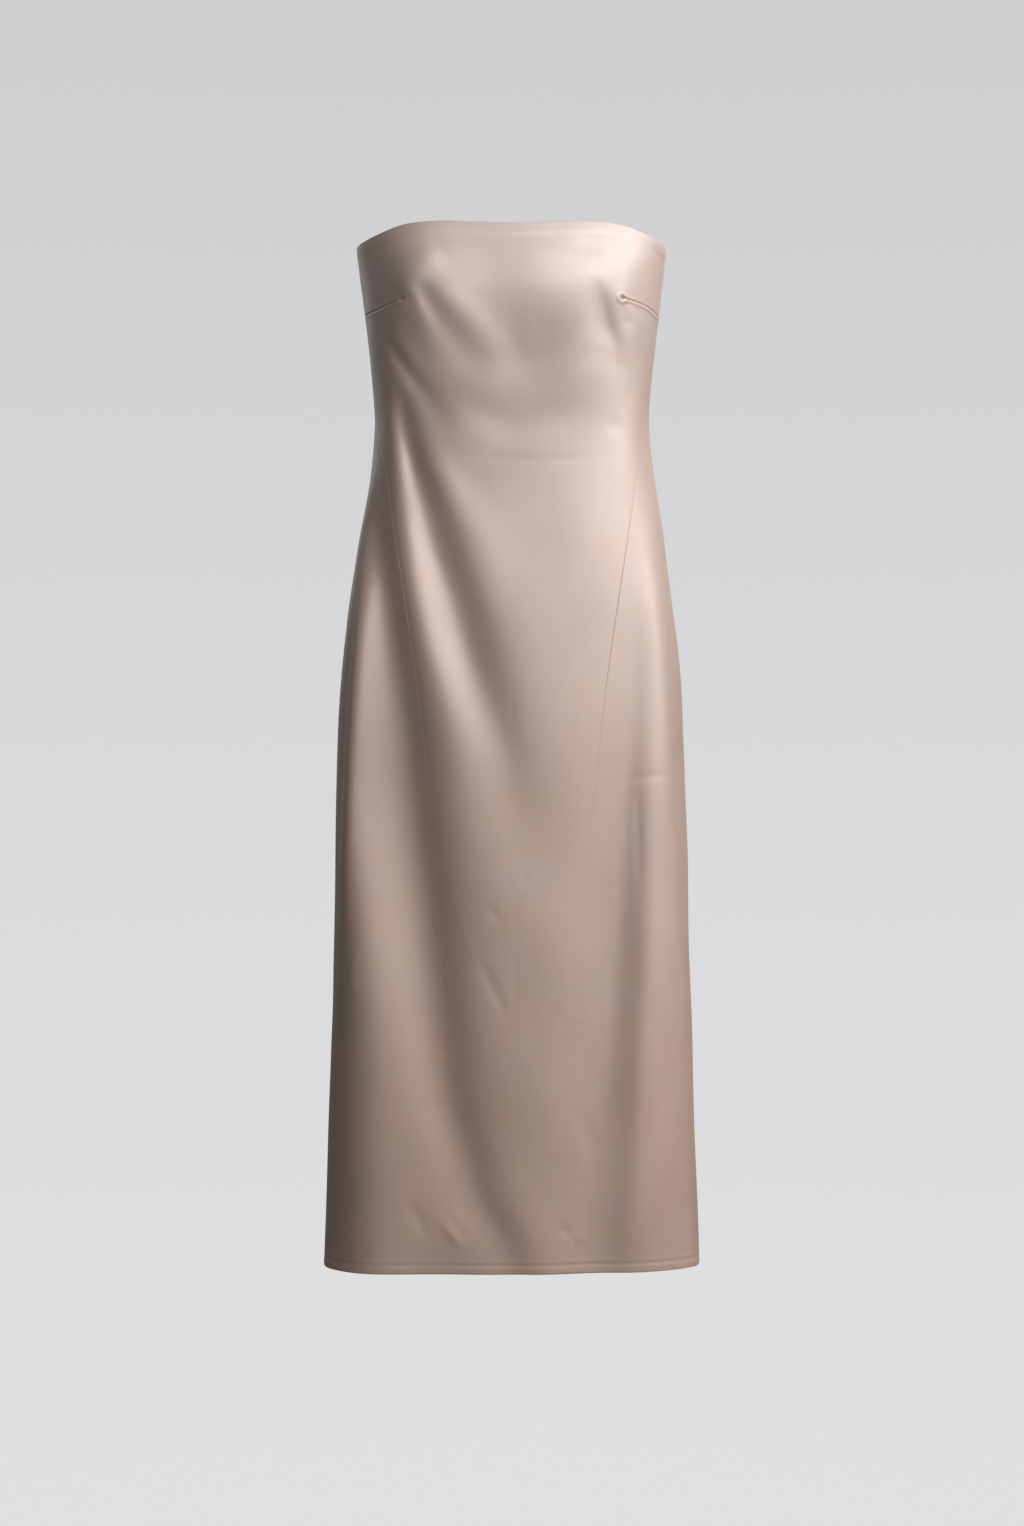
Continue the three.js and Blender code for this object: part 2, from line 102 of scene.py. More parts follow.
# Long folds of the front: height, distance from the middle, rise (a trough is negative),
# width on the wearer's right of the line, width on the other side
FRONT_FOLDS = [
    # the flat run beside the right side seam, and the deep trough next to it
    [(-180, -136, 0, 18, 18), (-210, -142, 1.2, 20, 20), (-264, -160, 13, 20, 24), (-363, -172, 32, 22, 30),
     (-462, -180, 37, 24, 34), (-560, -183, 38, 26, 37), (-659, -176, 31, 32, 43),
     (-757, -163, 23, 38, 49), (-856, -155, 20, 42, 56), (-955, -150, 18, 46, 62), (-1027, -152, 20, 48, 64)],
    [(-200, -136, 0, 14, 12), (-264, -136, -4.5, 14, 13), (-314, -132, -6.5, 16, 15),
     (-363, -125, -8, 20, 16), (-412, -118, -9.5, 24, 18), (-462, -111, -10.5, 27, 20),
     (-560, -100, -11.5, 30, 22), (-659, -89, -11.5, 30, 23), (-757, -77, -10, 29, 24),
     (-856, -64, -8.6, 28, 24), (-905, -50, -7.6, 29, 24), (-955, -34, -6.4, 30, 23),
     (-994, -12, -4.8, 30, 22), (-1027, 0, -3.6, 28, 22)],
    # the ridge that leaves the waist on the right and runs down to the middle
    [(-90, -127, 0, 9, 9), (-130, -126, 1.4, 9, 9), (-164, -123, 2.9, 10, 10), (-190, -120, 3.9, 11, 11),
     (-215, -117, 4.6, 12, 12), (-240, -115, 4.9, 13, 13), (-264, -113, 4.8, 14, 15),
     (-314, -105.5, 5.2, 16, 18), (-363, -97, 5.9, 18, 20), (-412, -85, 6.3, 22, 23),
     (-462, -71, 6.2, 26, 26), (-511, -59, 5.8, 28, 30), (-560, -50, 5, 31, 34),
     (-610, -42, 4.2, 34, 40), (-659, -36, 3.6, 36, 44), (-757, -28, 2.8, 38, 48),
     (-856, -14, 1.8, 38, 48), (-955, 6, 0.9, 36, 44), (-1027, 20, 0.4, 36, 44)],
    # the shorter trough beside it, ending above the middle of the skirt
    [(-150, -112, 0, 9, 9), (-190, -107, -3.6, 9, 11), (-215, -102, -4.8, 10, 12), (-264, -87, -5.2, 14, 15),
     (-314, -74, -6.2, 17, 18), (-363, -57, -6, 20, 19), (-412, -43, -5.6, 22, 20),
     (-462, -26, -4.4, 24, 21), (-500, -13, -2.8, 23, 20), (-540, -2, -1.1, 24, 19), (-590, 6, 0, 24, 18)],
    [(-165, -92, 0, 12, 14), (-215, -81, 2, 13, 17), (-264, -59, 3.6, 17, 24),
     (-314, -39, 3.2, 20, 30), (-363, -22, 2.5, 22, 34), (-412, 0, 1.6, 24, 34),
     (-462, 18, 1, 24, 34), (-520, 30, 0, 24, 30)],
    # the hollow under the end of the left bust dart, steep on the side of the seam
    [(-40, 82, 0, 16, 9), (-58, 86, -2.4, 18, 10), (-76, 90, -4.4, 20, 12), (-92, 95, -5.2, 22, 12),
     (-112, 101, -3.6, 24, 13), (-145, 105, -1.2, 26, 14), (-185, 108, 0, 26, 12)],
    # the soft trough and ridge of the left side
    [(-230, 120, 0, 24, 14), (-363, 118, -4.4, 32, 17), (-462, 117, -6.2, 36, 18), (-560, 110, -7.6, 38, 19),
     (-659, 104, -8.4, 38, 21), (-757, 97, -8.2, 38, 23), (-856, 88, -7, 38, 25),
     (-955, 80, -5, 36, 27), (-1027, 76, -3.4, 34, 28)],
    [(-250, 150, 0, 14, 16), (-363, 152, 2.4, 16, 18), (-462, 152, 3.4, 17, 20), (-560, 147, 4.4, 18, 24),
     (-659, 143, 5, 18, 28), (-757, 138, 5, 18, 30), (-856, 131, 4.6, 18, 32),
     (-955, 126, 4, 18, 32), (-1027, 122, 3.4, 18, 32)],
]
# Long folds of the back, in the same columns
BACK_FOLDS = [
    [(-330, 112, 0, 20, 20), (-420, 104, -5, 24, 20), (-600, 88, -7, 26, 22),
     (-820, 68, -6, 28, 24), (-1027, 52, -3, 28, 24)],
    [(-360, 66, 0, 18, 22), (-450, 60, 3.4, 20, 26), (-620, 46, 4, 24, 30), (-830, 24, 3, 28, 34),
     (-1027, 8, 1.4, 28, 34)],
    [(-350, -88, 0, 18, 22), (-470, -94, -4.5, 20, 24), (-640, -98, -5.5, 22, 26),
     (-850, -84, -4.6, 24, 28), (-1027, -90, -2.6, 24, 28)],
    [(-420, -46, 0, 20, 20), (-560, -52, 2.6, 24, 22), (-740, -44, 3.2, 26, 26), (-900, -36, 2.2, 28, 26),
     (-1027, -30, 1.2, 28, 26)],
    [(-560, 6, 0, 16, 16), (-700, 0, -2.4, 18, 20), (-880, -6, -2.8, 20, 24), (-1027, -14, -2, 22, 26)],
    [(-300, 146, 0, 14, 14), (-460, 150, 2.2, 16, 18), (-700, 142, 2.8, 18, 22), (-1027, 136, 1.6, 20, 24)],
    [(-380, -146, 0, 14, 14), (-560, -150, 2, 18, 16), (-800, -146, 2.6, 22, 18), (-1027, -140, 1.6, 24, 20)],
]

# Short creases and soft bends: a run of (across, height, rise, width)
FRONT_CREASES = [
    # the right breast: where it turns away to the side, and the pulls below the end of its dart
    [(-70, -14, 0, 20), (-84, -24, 2.2, 18), (-98, -40, 3, 15), (-104, -54, 2.4, 10), (-107, -62, 0, 6)],
    [(-104, -52, 0, 4), (-99, -58, 0.8, 5), (-94, -68, 1.2, 7), (-88, -82, 1, 9), (-82, -100, 0.5, 12),
     (-76, -118, 0, 14)],
    [(-95, -46, 0, 4), (-88, -54, -0.9, 7), (-80, -68, -1.5, 9), (-70, -84, -1.8, 12), (-56, -102, -1.7, 15),
     (-36, -124, -1.2, 18), (-18, -142, 0, 18)],
    [(-78, -44, 0, 10), (-64, -62, 1.2, 14), (-46, -82, 1.6, 17), (-26, -104, 1.2, 19), (-6, -126, 0, 20)],
    [(-124, -96, 0, 4), (-121, -106, -1.8, 5), (-113, -120, -3, 7), (-101, -138, -3.4, 9),
     (-88, -158, -2.8, 12), (-74, -180, -1.4, 15), (-62, -200, 0, 16)],
    [(-121, -118, 0, 5), (-114, -130, 0.9, 7), (-104, -146, 1.3, 10), (-94, -164, 1.1, 11),
     (-86, -182, 0.5, 12), (-80, -196, 0, 12)],
    [(-112, -76, 0, 8), (-104, -92, -1.2, 10), (-97, -110, -1.4, 12), (-88, -128, -0.8, 13),
     (-80, -140, 0, 14)],
    # the left breast: the soft bends beside the hollow under its dart
    [(112, -64, 0, 4), (120, -74, 1.6, 6), (126, -86, 2.2, 9), (118, -106, 1.6, 12), (108, -128, 0, 15)],
    [(70, -34, 0, 12), (74, -52, 1, 13), (77, -74, 1.4, 14), (80, -98, 0.8, 15), (84, -116, 0, 15)],
    [(58, -6, 0, 8), (70, -11, -0.9, 9), (82, -14, -1, 9), (94, -14, 0, 9)],
    [(96, -30, 0, 9), (110, -30, 0.9, 10), (124, -34, 0, 10)],
    [(126, 2, 0, 3.2), (136, -3, -1.1, 3.6), (144, -9, -1.7, 3.8), (150, -17, -1.4, 3.6), (152, -26, 0, 3.4)],
    [(112, -178, 0, 8), (104, -186, -0.9, 10), (98, -198, 0, 12)],
    [(132, -110, 0, 6), (122, -150, -0.8, 8), (112, -178, 0, 9)],
    # a loose V under the breasts
    [(-30, -60, 0, 20), (-8, -96, -1, 22), (16, -124, -1.2, 22), (44, -104, -1, 24), (66, -78, 0, 24)],
    [(-64, -150, 0, 14), (-36, -172, -1, 16), (0, -186, -1.2, 18), (44, -178, -0.8, 18), (78, -160, 0, 16)],
    # the top edge rolls a little over its turned-in layer
    [(-104, 2, 0, 3), (-92, 0, -0.7, 3.4), (-70, -3, -0.6, 4.5), (-48, -3, 0, 5)],
    [(70, 4, 0, 2.4), (92, 3, -0.4, 2.6), (112, 0, -0.3, 2.6), (126, -5, 0, 2.6)],
    # pressed creases and small wrinkles
    [(-52, -219, 0, 2.6), (-20, -221, -0.26, 2.8), (24, -223, -0.3, 2.8), (64, -221, -0.22, 2.6),
     (104, -218, 0, 2.4)],
    [(8, -350, 0, 2.4), (30, -351, -0.18, 2.4), (58, -350, 0, 2.4)],
    [(105, -540, 0, 3), (124, -539, -0.5, 3), (148, -536, -0.6, 3), (172, -533, 0, 3)],
    [(0, -458, 0, 2), (0, -472, -0.4, 2), (0, -487, 0, 2)],
    [(4, -680, 0, 2.8), (4, -710, -0.15, 3), (3, -752, -0.17, 3), (3, -788, 0, 2.8)],
    [(-1, -912, 0, 2.6), (0, -926, -0.3, 2.8), (0, -938, 0, 2.6)],
    [(125, -540, 0, 3), (126, -600, -0.9, 3.2), (127, -664, 0, 3)],
    [(-28, -662, 0, 4), (-18, -672, -0.45, 4.2), (-8, -686, 0, 4)],
    [(12, -628, 0, 3.4), (13, -640, -0.35, 3.6), (12, -650, 0, 3.4)],
    [(-36, -712, 0, 5), (-24, -734, -0.6, 5.5), (-12, -760, -0.45, 5.5), (-2, -784, 0, 5)],
    [(42, -978, 0, 3.4), (54, -986, -0.6, 3.4), (64, -990, 0.4, 3.4), (76, -998, 0, 3.4)],
    [(-102, -954, 0, 4), (-92, -972, -0.9, 4), (-82, -996, 0, 4)],
    [(-76, -966, 0, 4), (-58, -990, 0.9, 4.6), (-46, -1004, 0, 4)],
    [(-150, -700, 0, 5), (-158, -730, 1, 5), (-152, -766, 0, 5)],
    [(166, -610, 0, 4), (172, -650, -0.8, 4), (168, -690, 0, 4)],
    [(60, -860, 0, 6), (78, -900, -0.9, 7), (72, -950, 0, 6)],
]
BACK_CREASES = [
    # soft cross pulls in the small of the back, and small wrinkles lower down
    [(-120, -140, 0, 13), (-84, -156, -1, 15), (-46, -172, -0.7, 17), (0, -182, 0, 16)],
    [(-10, -188, 0, 14), (30, -180, -0.6, 17), (76, -162, -1, 17), (122, -138, 0, 14)],
    [(-116, -216, 0, 9), (-82, -204, -1.1, 11), (-40, -200, 0, 12)],
    [(22, -222, 0, 10), (58, -208, -0.8, 11), (100, -204, -0.9, 10), (126, -210, 0, 9)],
    [(-30, -262, 0, 9), (-60, -270, -0.9, 11), (-98, -262, 0, 10)],
    [(-60, -70, 0, 8), (-66, -100, 1.1, 10), (-64, -130, 0, 10)],
    [(62, -64, 0, 8), (68, -96, 1.2, 10), (66, -128, 0, 10)],
    [(-10, -344, 0, 9), (-32, -372, -0.8, 11), (-62, -404, 0, 12)],
    [(8, -342, 0, 9), (36, -376, -0.9, 11), (76, -416, 0, 13)],
    [(3, -520, 0, 2.6), (4, -560, -0.5, 2.6), (3, -600, 0, 2.6)],
    [(-120, -556, 0, 2.2), (-90, -560, -0.5, 2.2), (-58, -561, 0, 2.2)],
    [(60, -742, 0, 2.4), (86, -740, -0.5, 2.4), (118, -744, 0, 2.4)],
    [(-70, -930, 0, 4), (-58, -960, -1, 4.4), (-62, -992, 0, 4)],
    [(96, -950, 0, 4), (104, -976, 0.9, 4.4), (96, -1000, 0, 4)],
]
# Round the sides, by the turn in millimetres of cloth from the side's middle, and the height
SIDE_CREASES = [
    [(-14, -110, 0, 8), (-4, -150, -1.3, 9), (8, -190, -1.5, 9), (16, -226, 0, 9)],
    [(20, -330, 0, 10), (24, -430, 1.8, 13), (18, -560, 2, 15), (10, -700, 0, 15)],
    [(44, -300, 0, 10), (52, -420, -1.8, 12), (50, -560, -2.2, 14), (40, -720, -1.2, 14), (34, -800, 0, 14)],
    [(-6, -760, 0, 7), (-10, -800, -1.1, 8), (-4, -850, 0, 8)],
    [(14, -886, 0, 5), (8, -920, 1, 5), (14, -960, 0, 5)],
    [(36, -596, 0, 2.4), (58, -598, -0.5, 2.4), (80, -595, 0, 2.4)],
]

# The zip, in millimetres: heights, distances from the middle seam, depths under the outer face.
# A tape has its columns and rows of faces, a coil the sides of its wire and the steps of each winding.
TAPE = {"top": -24.6, "bottom": -335, "inner": 0.45, "outer": 10.9, "depth": 1.85, "thickness": 0.45,
        "columns": 10, "rows": 150}
COIL = {"top": -24.8, "bottom": -334, "across": 1.1, "radius": 0.6, "depth": 2.75,
        "sides": 5, "steps": 9}

# Bust darts: points across and up from the seam to the end, the depth of the pit at the end and
# the height of the lip below the dart
BUST_DARTS = [
    ([(-147, -70), (-136, -68.5), (-122, -65), (-110, -62)], 0.9, 0.15),
    ([(148, -72), (136, -65.5), (122, -62.5), (110, -61)], 1.7, 0.42),
]
# Waist darts: points across and up, from the upper end to the lower one
BACK_DARTS = [[(side * 70, -96), (side * 73, -180), (side * 72, -292)] for side in (-1, 1)]
# Fine gathers of the front's top edge: distance from the middle, reach, pitch, height
GATHERS = [(-127, 13, 5.2, 0.38), (-24, 24, 8.5, 0.13), (58, 20, 7, 0.08), (118, 14, 6, 0.12)]

# The studio, in metres: the curve from floor to wall and the height of the wall
COVE, COVE_STEPS, WALL = 1.2, 10, 6.0
# Lights: name, place, size, share of the key light's strength, height aimed at, spread in degrees
LIGHTS = [
    ("key light", (1.15, -1.85, 0.95), (1.9, 0.9), 1.0, -0.45, 180),
    ("side light", (2.5, -0.6, 0.8), (1.2, 1.6), 0.35, -0.2, 110),
    ("bust light", (0.3, -2.3, 0.9), (1.4, 0.3), 0.014, 0.2, 30),
    ("floor bounce", (-0.9, -1.8, -1.3), (1.6, 1.0), 0.045, -0.95, 180),
    ("back light, left", (-1.9, 2.6, 0.6), (1.4, 1.4), 0.25, -0.45, 180),
    ("back light, right", (1.0, 2.4, 1.0), (1.6, 0.9), 0.7, -0.45, 180),
]


def number(name, description, default, low, high, **kind):
    """A setting with its limits and its unit or subtype."""
    return FloatProperty(name=name, description=description, default=default, min=low, max=high, **kind)


def tint(name, description, default):
    """A setting that is a colour."""
    return FloatVectorProperty(
        name=name, description=description, default=default, size=3, min=0, max=1, subtype="COLOR")


class ClothSettings(bpy.types.PropertyGroup):
    """How the satin is cut, turned in and coloured."""

    thickness: number("Satin", "Thickness of one layer", 0.0004, 0.0002, 0.001, unit="LENGTH")
    turn_radius: number("Turned edge", "Outer radius of a fold", 0.00044, 0.0004, 0.0012, unit="LENGTH")
    top_turn: number("Top turn", "Cloth turned in at the top edge", 0.012, 0.004, 0.03, unit="LENGTH")
    hem_turn: number("Hem turn", "Cloth turned up at the hem", 0.0115, 0.004, 0.03, unit="LENGTH")
    allowance: number("Seam allowance", "Cloth pressed open inside a seam", 0.009, 0.004, 0.02, unit="LENGTH")
    unevenness: number("Unevenness", "Height of the cloth's own slow waves", 0.0007, 0, 0.003, unit="LENGTH")
    # The satin's colour is painted: lighter at the bust and darker and browner towards the hem, painted light
    # and shade from the lights above, blended by height between these two colours
    satin: tint("Satin", "Colour of the satin at the bust", (0.345, 0.252, 0.2185))
    satin_hem_with_painted_shade: tint("Satin, low", "Colour of the satin at the hem", (0.366, 0.2325, 0.1755))
    gloss: number("Satin roughness", "Roughness of the satin's face", 0.6, 0.1, 0.9, subtype="FACTOR")


class StitchSettings(bpy.types.PropertyGroup):
    """The row of topstitching above the hem."""

    height: number("Height", "Stitch row above the hem's edge", HEM_ROW * MM, 0.002, 0.03, unit="LENGTH")
    pitch: number("Pitch", "From one stitch to the next", 0.0022, 0.0015, 0.005, unit="LENGTH")
    thread: number("Thread", "Thickness of the thread", 0.00032, 0.0001, 0.001, unit="LENGTH")
    colour: tint("Thread colour", "Colour of the thread", (0.46, 0.35, 0.30))


class ZipSettings(bpy.types.PropertyGroup):
    """The concealed zip of the back."""

    wire: number("Coil wire", "Thickness of the coil's wire", 0.0006, 0.0003, 0.001, unit="LENGTH")
    pitch: number("Coil pitch", "From one tooth to the next", 0.0013, 0.001, 0.003, unit="LENGTH")
    tape: tint("Tape", "Colour of the knitted tape", (0.37, 0.27, 0.225))
    lacquer: tint("Lacquer", "Colour of the slider's lacquer", (0.42, 0.31, 0.262))


class StageSettings(bpy.types.PropertyGroup):
    """The plain studio."""

    floor: number("Floor height", "Height of the studio floor", -1.42, -3, -1.2, unit="LENGTH")
    radius: number("Studio radius", "From the middle to the wall", 6.5, 5, 10, unit="LENGTH")
    key: number("Key light", "Strength of the main light", 59, 0, 2000, unit="POWER")
    tone: number("Backdrop tone", "Brightness of the plain backdrop", 0.69, 0, 1, subtype="FACTOR")
    lens: number("Lens", "Focal length of the camera", 78.6, 20, 200, unit="CAMERA")


def curve(rows, column, at):
    """A smooth curve through a table's rows, from its first column to another one."""
    rows = np.asarray(rows, float)
    rows = rows[np.argsort(rows[:, 0])]
    keys, values = rows[:, 0], rows[:, column]
    last = len(keys) - 1
    low = np.maximum(np.arange(last + 1) - 1, 0)
    high = np.minimum(np.arange(last + 1) + 1, last)
    slopes = (values[high] - values[low]) / (keys[high] - keys[low])
    at = np.clip(at, keys[0], keys[-1])
    i = np.clip(np.searchsorted(keys, at, side="left") - 1, 0, last - 1)
    span = keys[i + 1] - keys[i]
    s = (at - keys[i]) / span
    return (
        values[i] * (2 * s**3 - 3 * s**2 + 1)
        + slopes[i] * span * (s**3 - 2 * s**2 + s)
        + values[i + 1] * (3 * s**2 - 2 * s**3)
        + slopes[i + 1] * span * (s**3 - s**2)
    )


def ease(s):
    """A soft step from 0 to 1."""
    s = np.clip(s, 0, 1)
    return s * s * (3 - 2 * s)


def bell(away, width):
    """A soft bump: 1 on its line, and nearly nothing two widths away."""
    return np.exp(-((away / width) ** 2))


def unit(vectors):
    """The vectors, each made one long."""
    return vectors / np.linalg.norm(vectors, axis=-1, keepdims=True)


def ring(turn, z):
    """Points of the plain ring and its outward normals. Turn 0 is the wearer's right side,
    a quarter turn on is the middle front."""
    front = np.sin(turn) >= 0
    half = curve(RINGS, 1, z)
    depth = np.where(front, curve(RINGS, 2, z), curve(RINGS, 3, z))
    square = np.where(front, curve(RINGS, 4, z), SQUARE_BACK)
    share = np.clip(np.abs(np.cos(turn)), 0, 1)
    rise = np.clip(1 - share**square, 0, 1) ** (1 / square)
    sign = np.where(front, -1.0, 1.0)
    point = np.stack([-half * np.cos(turn), sign * depth * rise, z + 0 * turn], -1)
    normal = np.stack([
        -np.sign(np.cos(turn)) * share ** (square - 1) / half,
        sign * rise ** (square - 1) / depth,
        0 * turn,
    ], -1)
    return point, unit(normal)


def fullness(x, z):
    """How far the front stands out from the plain ring."""
    both = np.zeros_like(x)
    for side in (-1, 1):
        off = side * x - curve(FULLNESS, 1, z)
        both += bell(off, np.where(off < 0, curve(FULLNESS, 3, z), curve(FULLNESS, 4, z)))
    return curve(FULLNESS, 2, z) * both


def long_folds(folds, x, z):
    """How far the long folds lift the cloth. None of them reaches above its first row."""
    rise = np.zeros_like(x)
    for fold in folds:
        height = np.where(z > fold[0][0], 0, curve(fold, 2, z))
        off = x - curve(fold, 1, z)
        rise += height * bell(off, np.where(off < 0, curve(fold, 3, z), curve(fold, 4, z)))
    return rise


def along(rows, step=3.0):
    """The rows of a crease joined by a smooth curve, as many short straight stretches."""
    rows = np.asarray(rows, float)
    reach = np.concatenate([[0], np.cumsum(np.hypot(*np.diff(rows[:, :2], axis=0).T))])
    at = np.linspace(0, reach[-1], max(4, int(reach[-1] / step)) + 1)
    table = np.column_stack([reach, rows])
    return np.column_stack([curve(table, k + 1, at) for k in range(rows.shape[1])])


def nearest(line, x, z):
    """How far each point is from a line of short stretches, and the rest of the line's columns there."""
    best = np.full(x.shape, np.inf)
    values = np.zeros(x.shape + (line.shape[1] - 2,))
    for a, b in zip(line[:-1], line[1:]):
        step = b[:2] - a[:2]
        t = np.clip(((x - a[0]) * step[0] + (z - a[1]) * step[1]) / (step @ step), 0, 1)
        away = (x - a[0] - t * step[0]) ** 2 + (z - a[1] - t * step[1]) ** 2
        closer = away < best
        best = np.where(closer, away, best)
        here = a[2:] + t[..., None] * (b[2:] - a[2:])
        values = np.where(closer[..., None], here, values)
    return np.sqrt(best), values


def creases(runs, x, z):
    """How far the short creases lift the cloth."""
    rise = np.zeros_like(x)
    for run in runs:
        line = along(run)
        reach = 3 * line[:, 3].max()
        near = (
            (x > line[:, 0].min() - reach) & (x < line[:, 0].max() + reach)
            & (z > line[:, 1].min() - reach) & (z < line[:, 1].max() + reach)
        )
        if near.any():
            away, values = nearest(line, x[near], z[near])
            rise[near] += values[:, 0] * bell(away, values[:, 1])
    return rise


def slow_waves(turn, z, height):
    """The slight unevenness of cloth that hangs free."""
    chance = np.random.default_rng(WAVE_SEED)
    rise = np.zeros_like(turn)
    for _ in range(WAVES):
        around = chance.integers(2, 11)
        down = chance.uniform(2, 13) / 1000
        phase = chance.uniform(0, 2 * math.pi, 2)
        sway = 0.4 * np.sin(z * 0.006 + phase[1])
        rise += np.sin(around * turn + phase[0] + sway) * np.sin(math.pi * down * z + phase[1])
    return height * rise / 3


def dart_line(points, step=2.0):
    """A dart's points joined by a smooth curve, as short straight stretches."""
    return along([(x, z, 0, 0) for x, z in points], step)


def dart_relief(x, z):
    """The stitched line of each bust dart, the small dimple at its end and the lip below it."""
    rise = np.zeros_like(x)
    for points, pit, lip in BUST_DARTS:
        side = np.sign(points[0][0])
        ex, ez = points[-1]
        line = dart_line(points)
        near = (np.abs(x - ex) < 62) & (z > -100) & (z < -36)
        if not near.any():
            continue
        px, pz = x[near], z[near]
        away, _ = nearest(line, px, pz)
        below = pz < np.interp(side * px, side * line[::-1, 0], line[::-1, 1])
        from_end = np.hypot(px - ex, pz - ez)
        above_end = np.hypot(px - ex + side, pz - ez - 9)
        rise[near] += (
            -0.75 * bell(away, 0.75) + np.where(below, lip * 1.6, 0.25) * bell(away - 2, 1.5)
            + pit * (0.45 * bell(from_end - 4.2, 2) - bell(from_end, 1.9) + 0.35 * bell(above_end, 3.5))
        )
    return rise


def back_dart_relief(x, z):
    """The stitched lines of the waist darts, and a small dimple at each end."""
    rise = np.zeros_like(x)
    for points in BACK_DARTS:
        near = (np.abs(x - points[1][0]) < 24) & (z > -316) & (z < -76)
        if near.any():
            away, _ = nearest(dart_line(points, 6.0), x[near], z[near])
            rise[near] += 0.3 * bell(away - 2.8, 2) - 0.6 * bell(away, 1.1)
            for ex, ez in (points[0], points[-1]):
                from_end = np.hypot(x[near] - ex, z[near] - ez)
                rise[near] += 0.2 * bell(from_end - 7.5, 4.5) - 0.3 * bell(from_end, 3)
    return rise


def top_edge_height(turn):
    """How far the top edge stands above the side seams' ends."""
    x = np.abs(curve(RINGS, 1, 0.0) * np.cos(turn))
    return np.where(np.sin(turn) >= 0, curve(TOP_FRONT, 1, x), curve(TOP_BACK, 1, x))


def seam_turns(z):
    """The turns of the side seam and of the curved skirt seam on the wearer's right, at a height."""
    side = np.arccos(math.cos(SIDE_SEAM_ANGLE) ** (2 / curve(RINGS, 4, z)))
    across = np.clip(curve(FRONT_SEAM, 1, z) / curve(RINGS, 1, z), 0, 1)
    return side, np.where(z > GORE_TOP, side, np.maximum(side, np.arccos(across)))


def hem_relief(z):
    """The dent of the stitch row above the hem, and the step where the layer turned up inside ends."""
    above = z - HEM - HEM_ROW
    return 0.16 * ease((-above - 1.2) / 1.6) - 0.2 * bell(above, 1.1) + 0.14 * bell(above - 3, 1.4)


def edge_puckers(turn, below):
    """Fine gathers of the turned top edge, in a few places, and the ridge where its layer ends."""
    x = -curve(RINGS, 1, 0.0) * np.cos(turn)
    front = np.sin(turn) >= 0
    rise = 0.32 * ease(1 - (below - 8.5) / 4) + 0.22 * bell(below - 10.5, 1.8)
    for middle, reach, pitch, height in GATHERS:
        place = bell(x - middle, reach) * bell(below, 11) * front
        rise += height * place * np.cos(2 * math.pi * (x - middle) / pitch + 0.05 * below)
    for middle in (-60, 74):
        rise += 0.15 * bell(x - middle, 22) * bell(below, 11) * ~front * np.cos(2 * math.pi * x / 7)
    return rise


def cloth_from(turn, middle):
    """Millimetres of cloth from one turn to another, the short way round."""
    return np.angle(np.exp(1j * (turn - middle))) * ARC


def seam_puckers(turn, z):
    """Small ripples beside the side seams, the skirt seams and the middle back."""
    side, skirt = seam_turns(z)
    rise = np.zeros_like(turn)
    ripple = np.sin(z * 0.61 + 1.7 * np.sin(z * 0.083)) * (0.6 + 0.4 * np.sin(z * 0.041 + 2))
    dent = 0.1 * ease((z - DENT_ENDS) / DENT_FADES)
    for seam, height, begins in (
        (side, 0.16, ABOVE_ALL), (math.pi - side, 0.16, ABOVE_ALL), (skirt, 0.13, GORE_TOP),
        (math.pi - skirt, 0.16, GORE_TOP), (MIDDLE_BACK, 0.14, ABOVE_ALL),
        (MIDDLE_BACK, 0.12, TAPE["bottom"]),
    ):
        away = cloth_from(turn, seam)
        rise += (height * bell(away, 5.5) * ripple - dent * bell(away, 1.6)) * (z < begins)
    return rise


def surface(turn, z, unevenness=0.7):
    """The outer face of the cloth, in millimetres."""
    point, normal = ring(turn, z)
    front = point[:, 1] < 0
    depth = np.where(front, curve(RINGS, 2, z), curve(RINGS, 3, z))
    fade = ease(np.abs(point[:, 1]) / (0.3 * depth))
    point += normal * (fullness(point[:, 0], z) * fade * front)[:, None]
    x = point[:, 0]
    rise = np.zeros_like(x)
    for part, folds, wrinkles in ((front, FRONT_FOLDS, FRONT_CREASES), (~front, BACK_FOLDS, BACK_CREASES)):
        rise[part] = long_folds(folds, x[part], z[part]) + creases(wrinkles, x[part], z[part])
    point[:, 1] += np.where(front, -1, 1) * rise * fade
    fine = slow_waves(turn, z, unevenness) + seam_puckers(turn, z) + hem_relief(z)
    fine[front] += dart_relief(x[front], z[front]) * ease(np.abs(point[front, 1]) / 12)
    fine[~front] += back_dart_relief(x[~front], z[~front])
    for middle, squeeze in ((0, 1), (math.pi, 0.9)):
        around = cloth_from(turn, middle)
        close = np.abs(around) < SIDE_REACH
        fine[close] += creases(SIDE_CREASES, squeeze * around[close], z[close])
    fine += edge_puckers(turn, np.maximum(top_edge_height(turn) - z, 0)) * (z > EDGE_ZONE)
    return point + normal * fine[:, None]


def moved_in(turn, z, depth, unevenness):
    """Points of the outer face moved towards the hollow, by a depth for each."""
    base = surface(turn, z, unevenness)
    aside = surface(turn + 0.004, z, unevenness) - base
    up = surface(turn, z + 0.6, unevenness) - base
    inward = unit(np.cross(up, aside))
    inward *= -np.sign(np.sum(inward * base * [1, 1, 0], axis=1, keepdims=True))
    return base + inward * depth[:, None]


def spaced(stops):
    """Places along one edge of a cut piece: each stop is (where it begins, the step after it)."""
    places = []
    for (start, step), (end, _) in zip(stops[:-1], stops[1:]):
        count = max(1, round(abs(end - start) / step))
        places.extend(np.linspace(start, end, count, endpoint=False))
    return np.array(places + [stops[-1][0]])


def turned_places(width, radius):
    """Places across a turned-in edge, from the raw edge to the fold, in millimetres past the fold."""
    bend = math.pi * radius
    return [width, 0.66 * width, 0.38 * width, bend * 1.35] + [bend * k / 4 for k in (4, 3, 2, 1)]


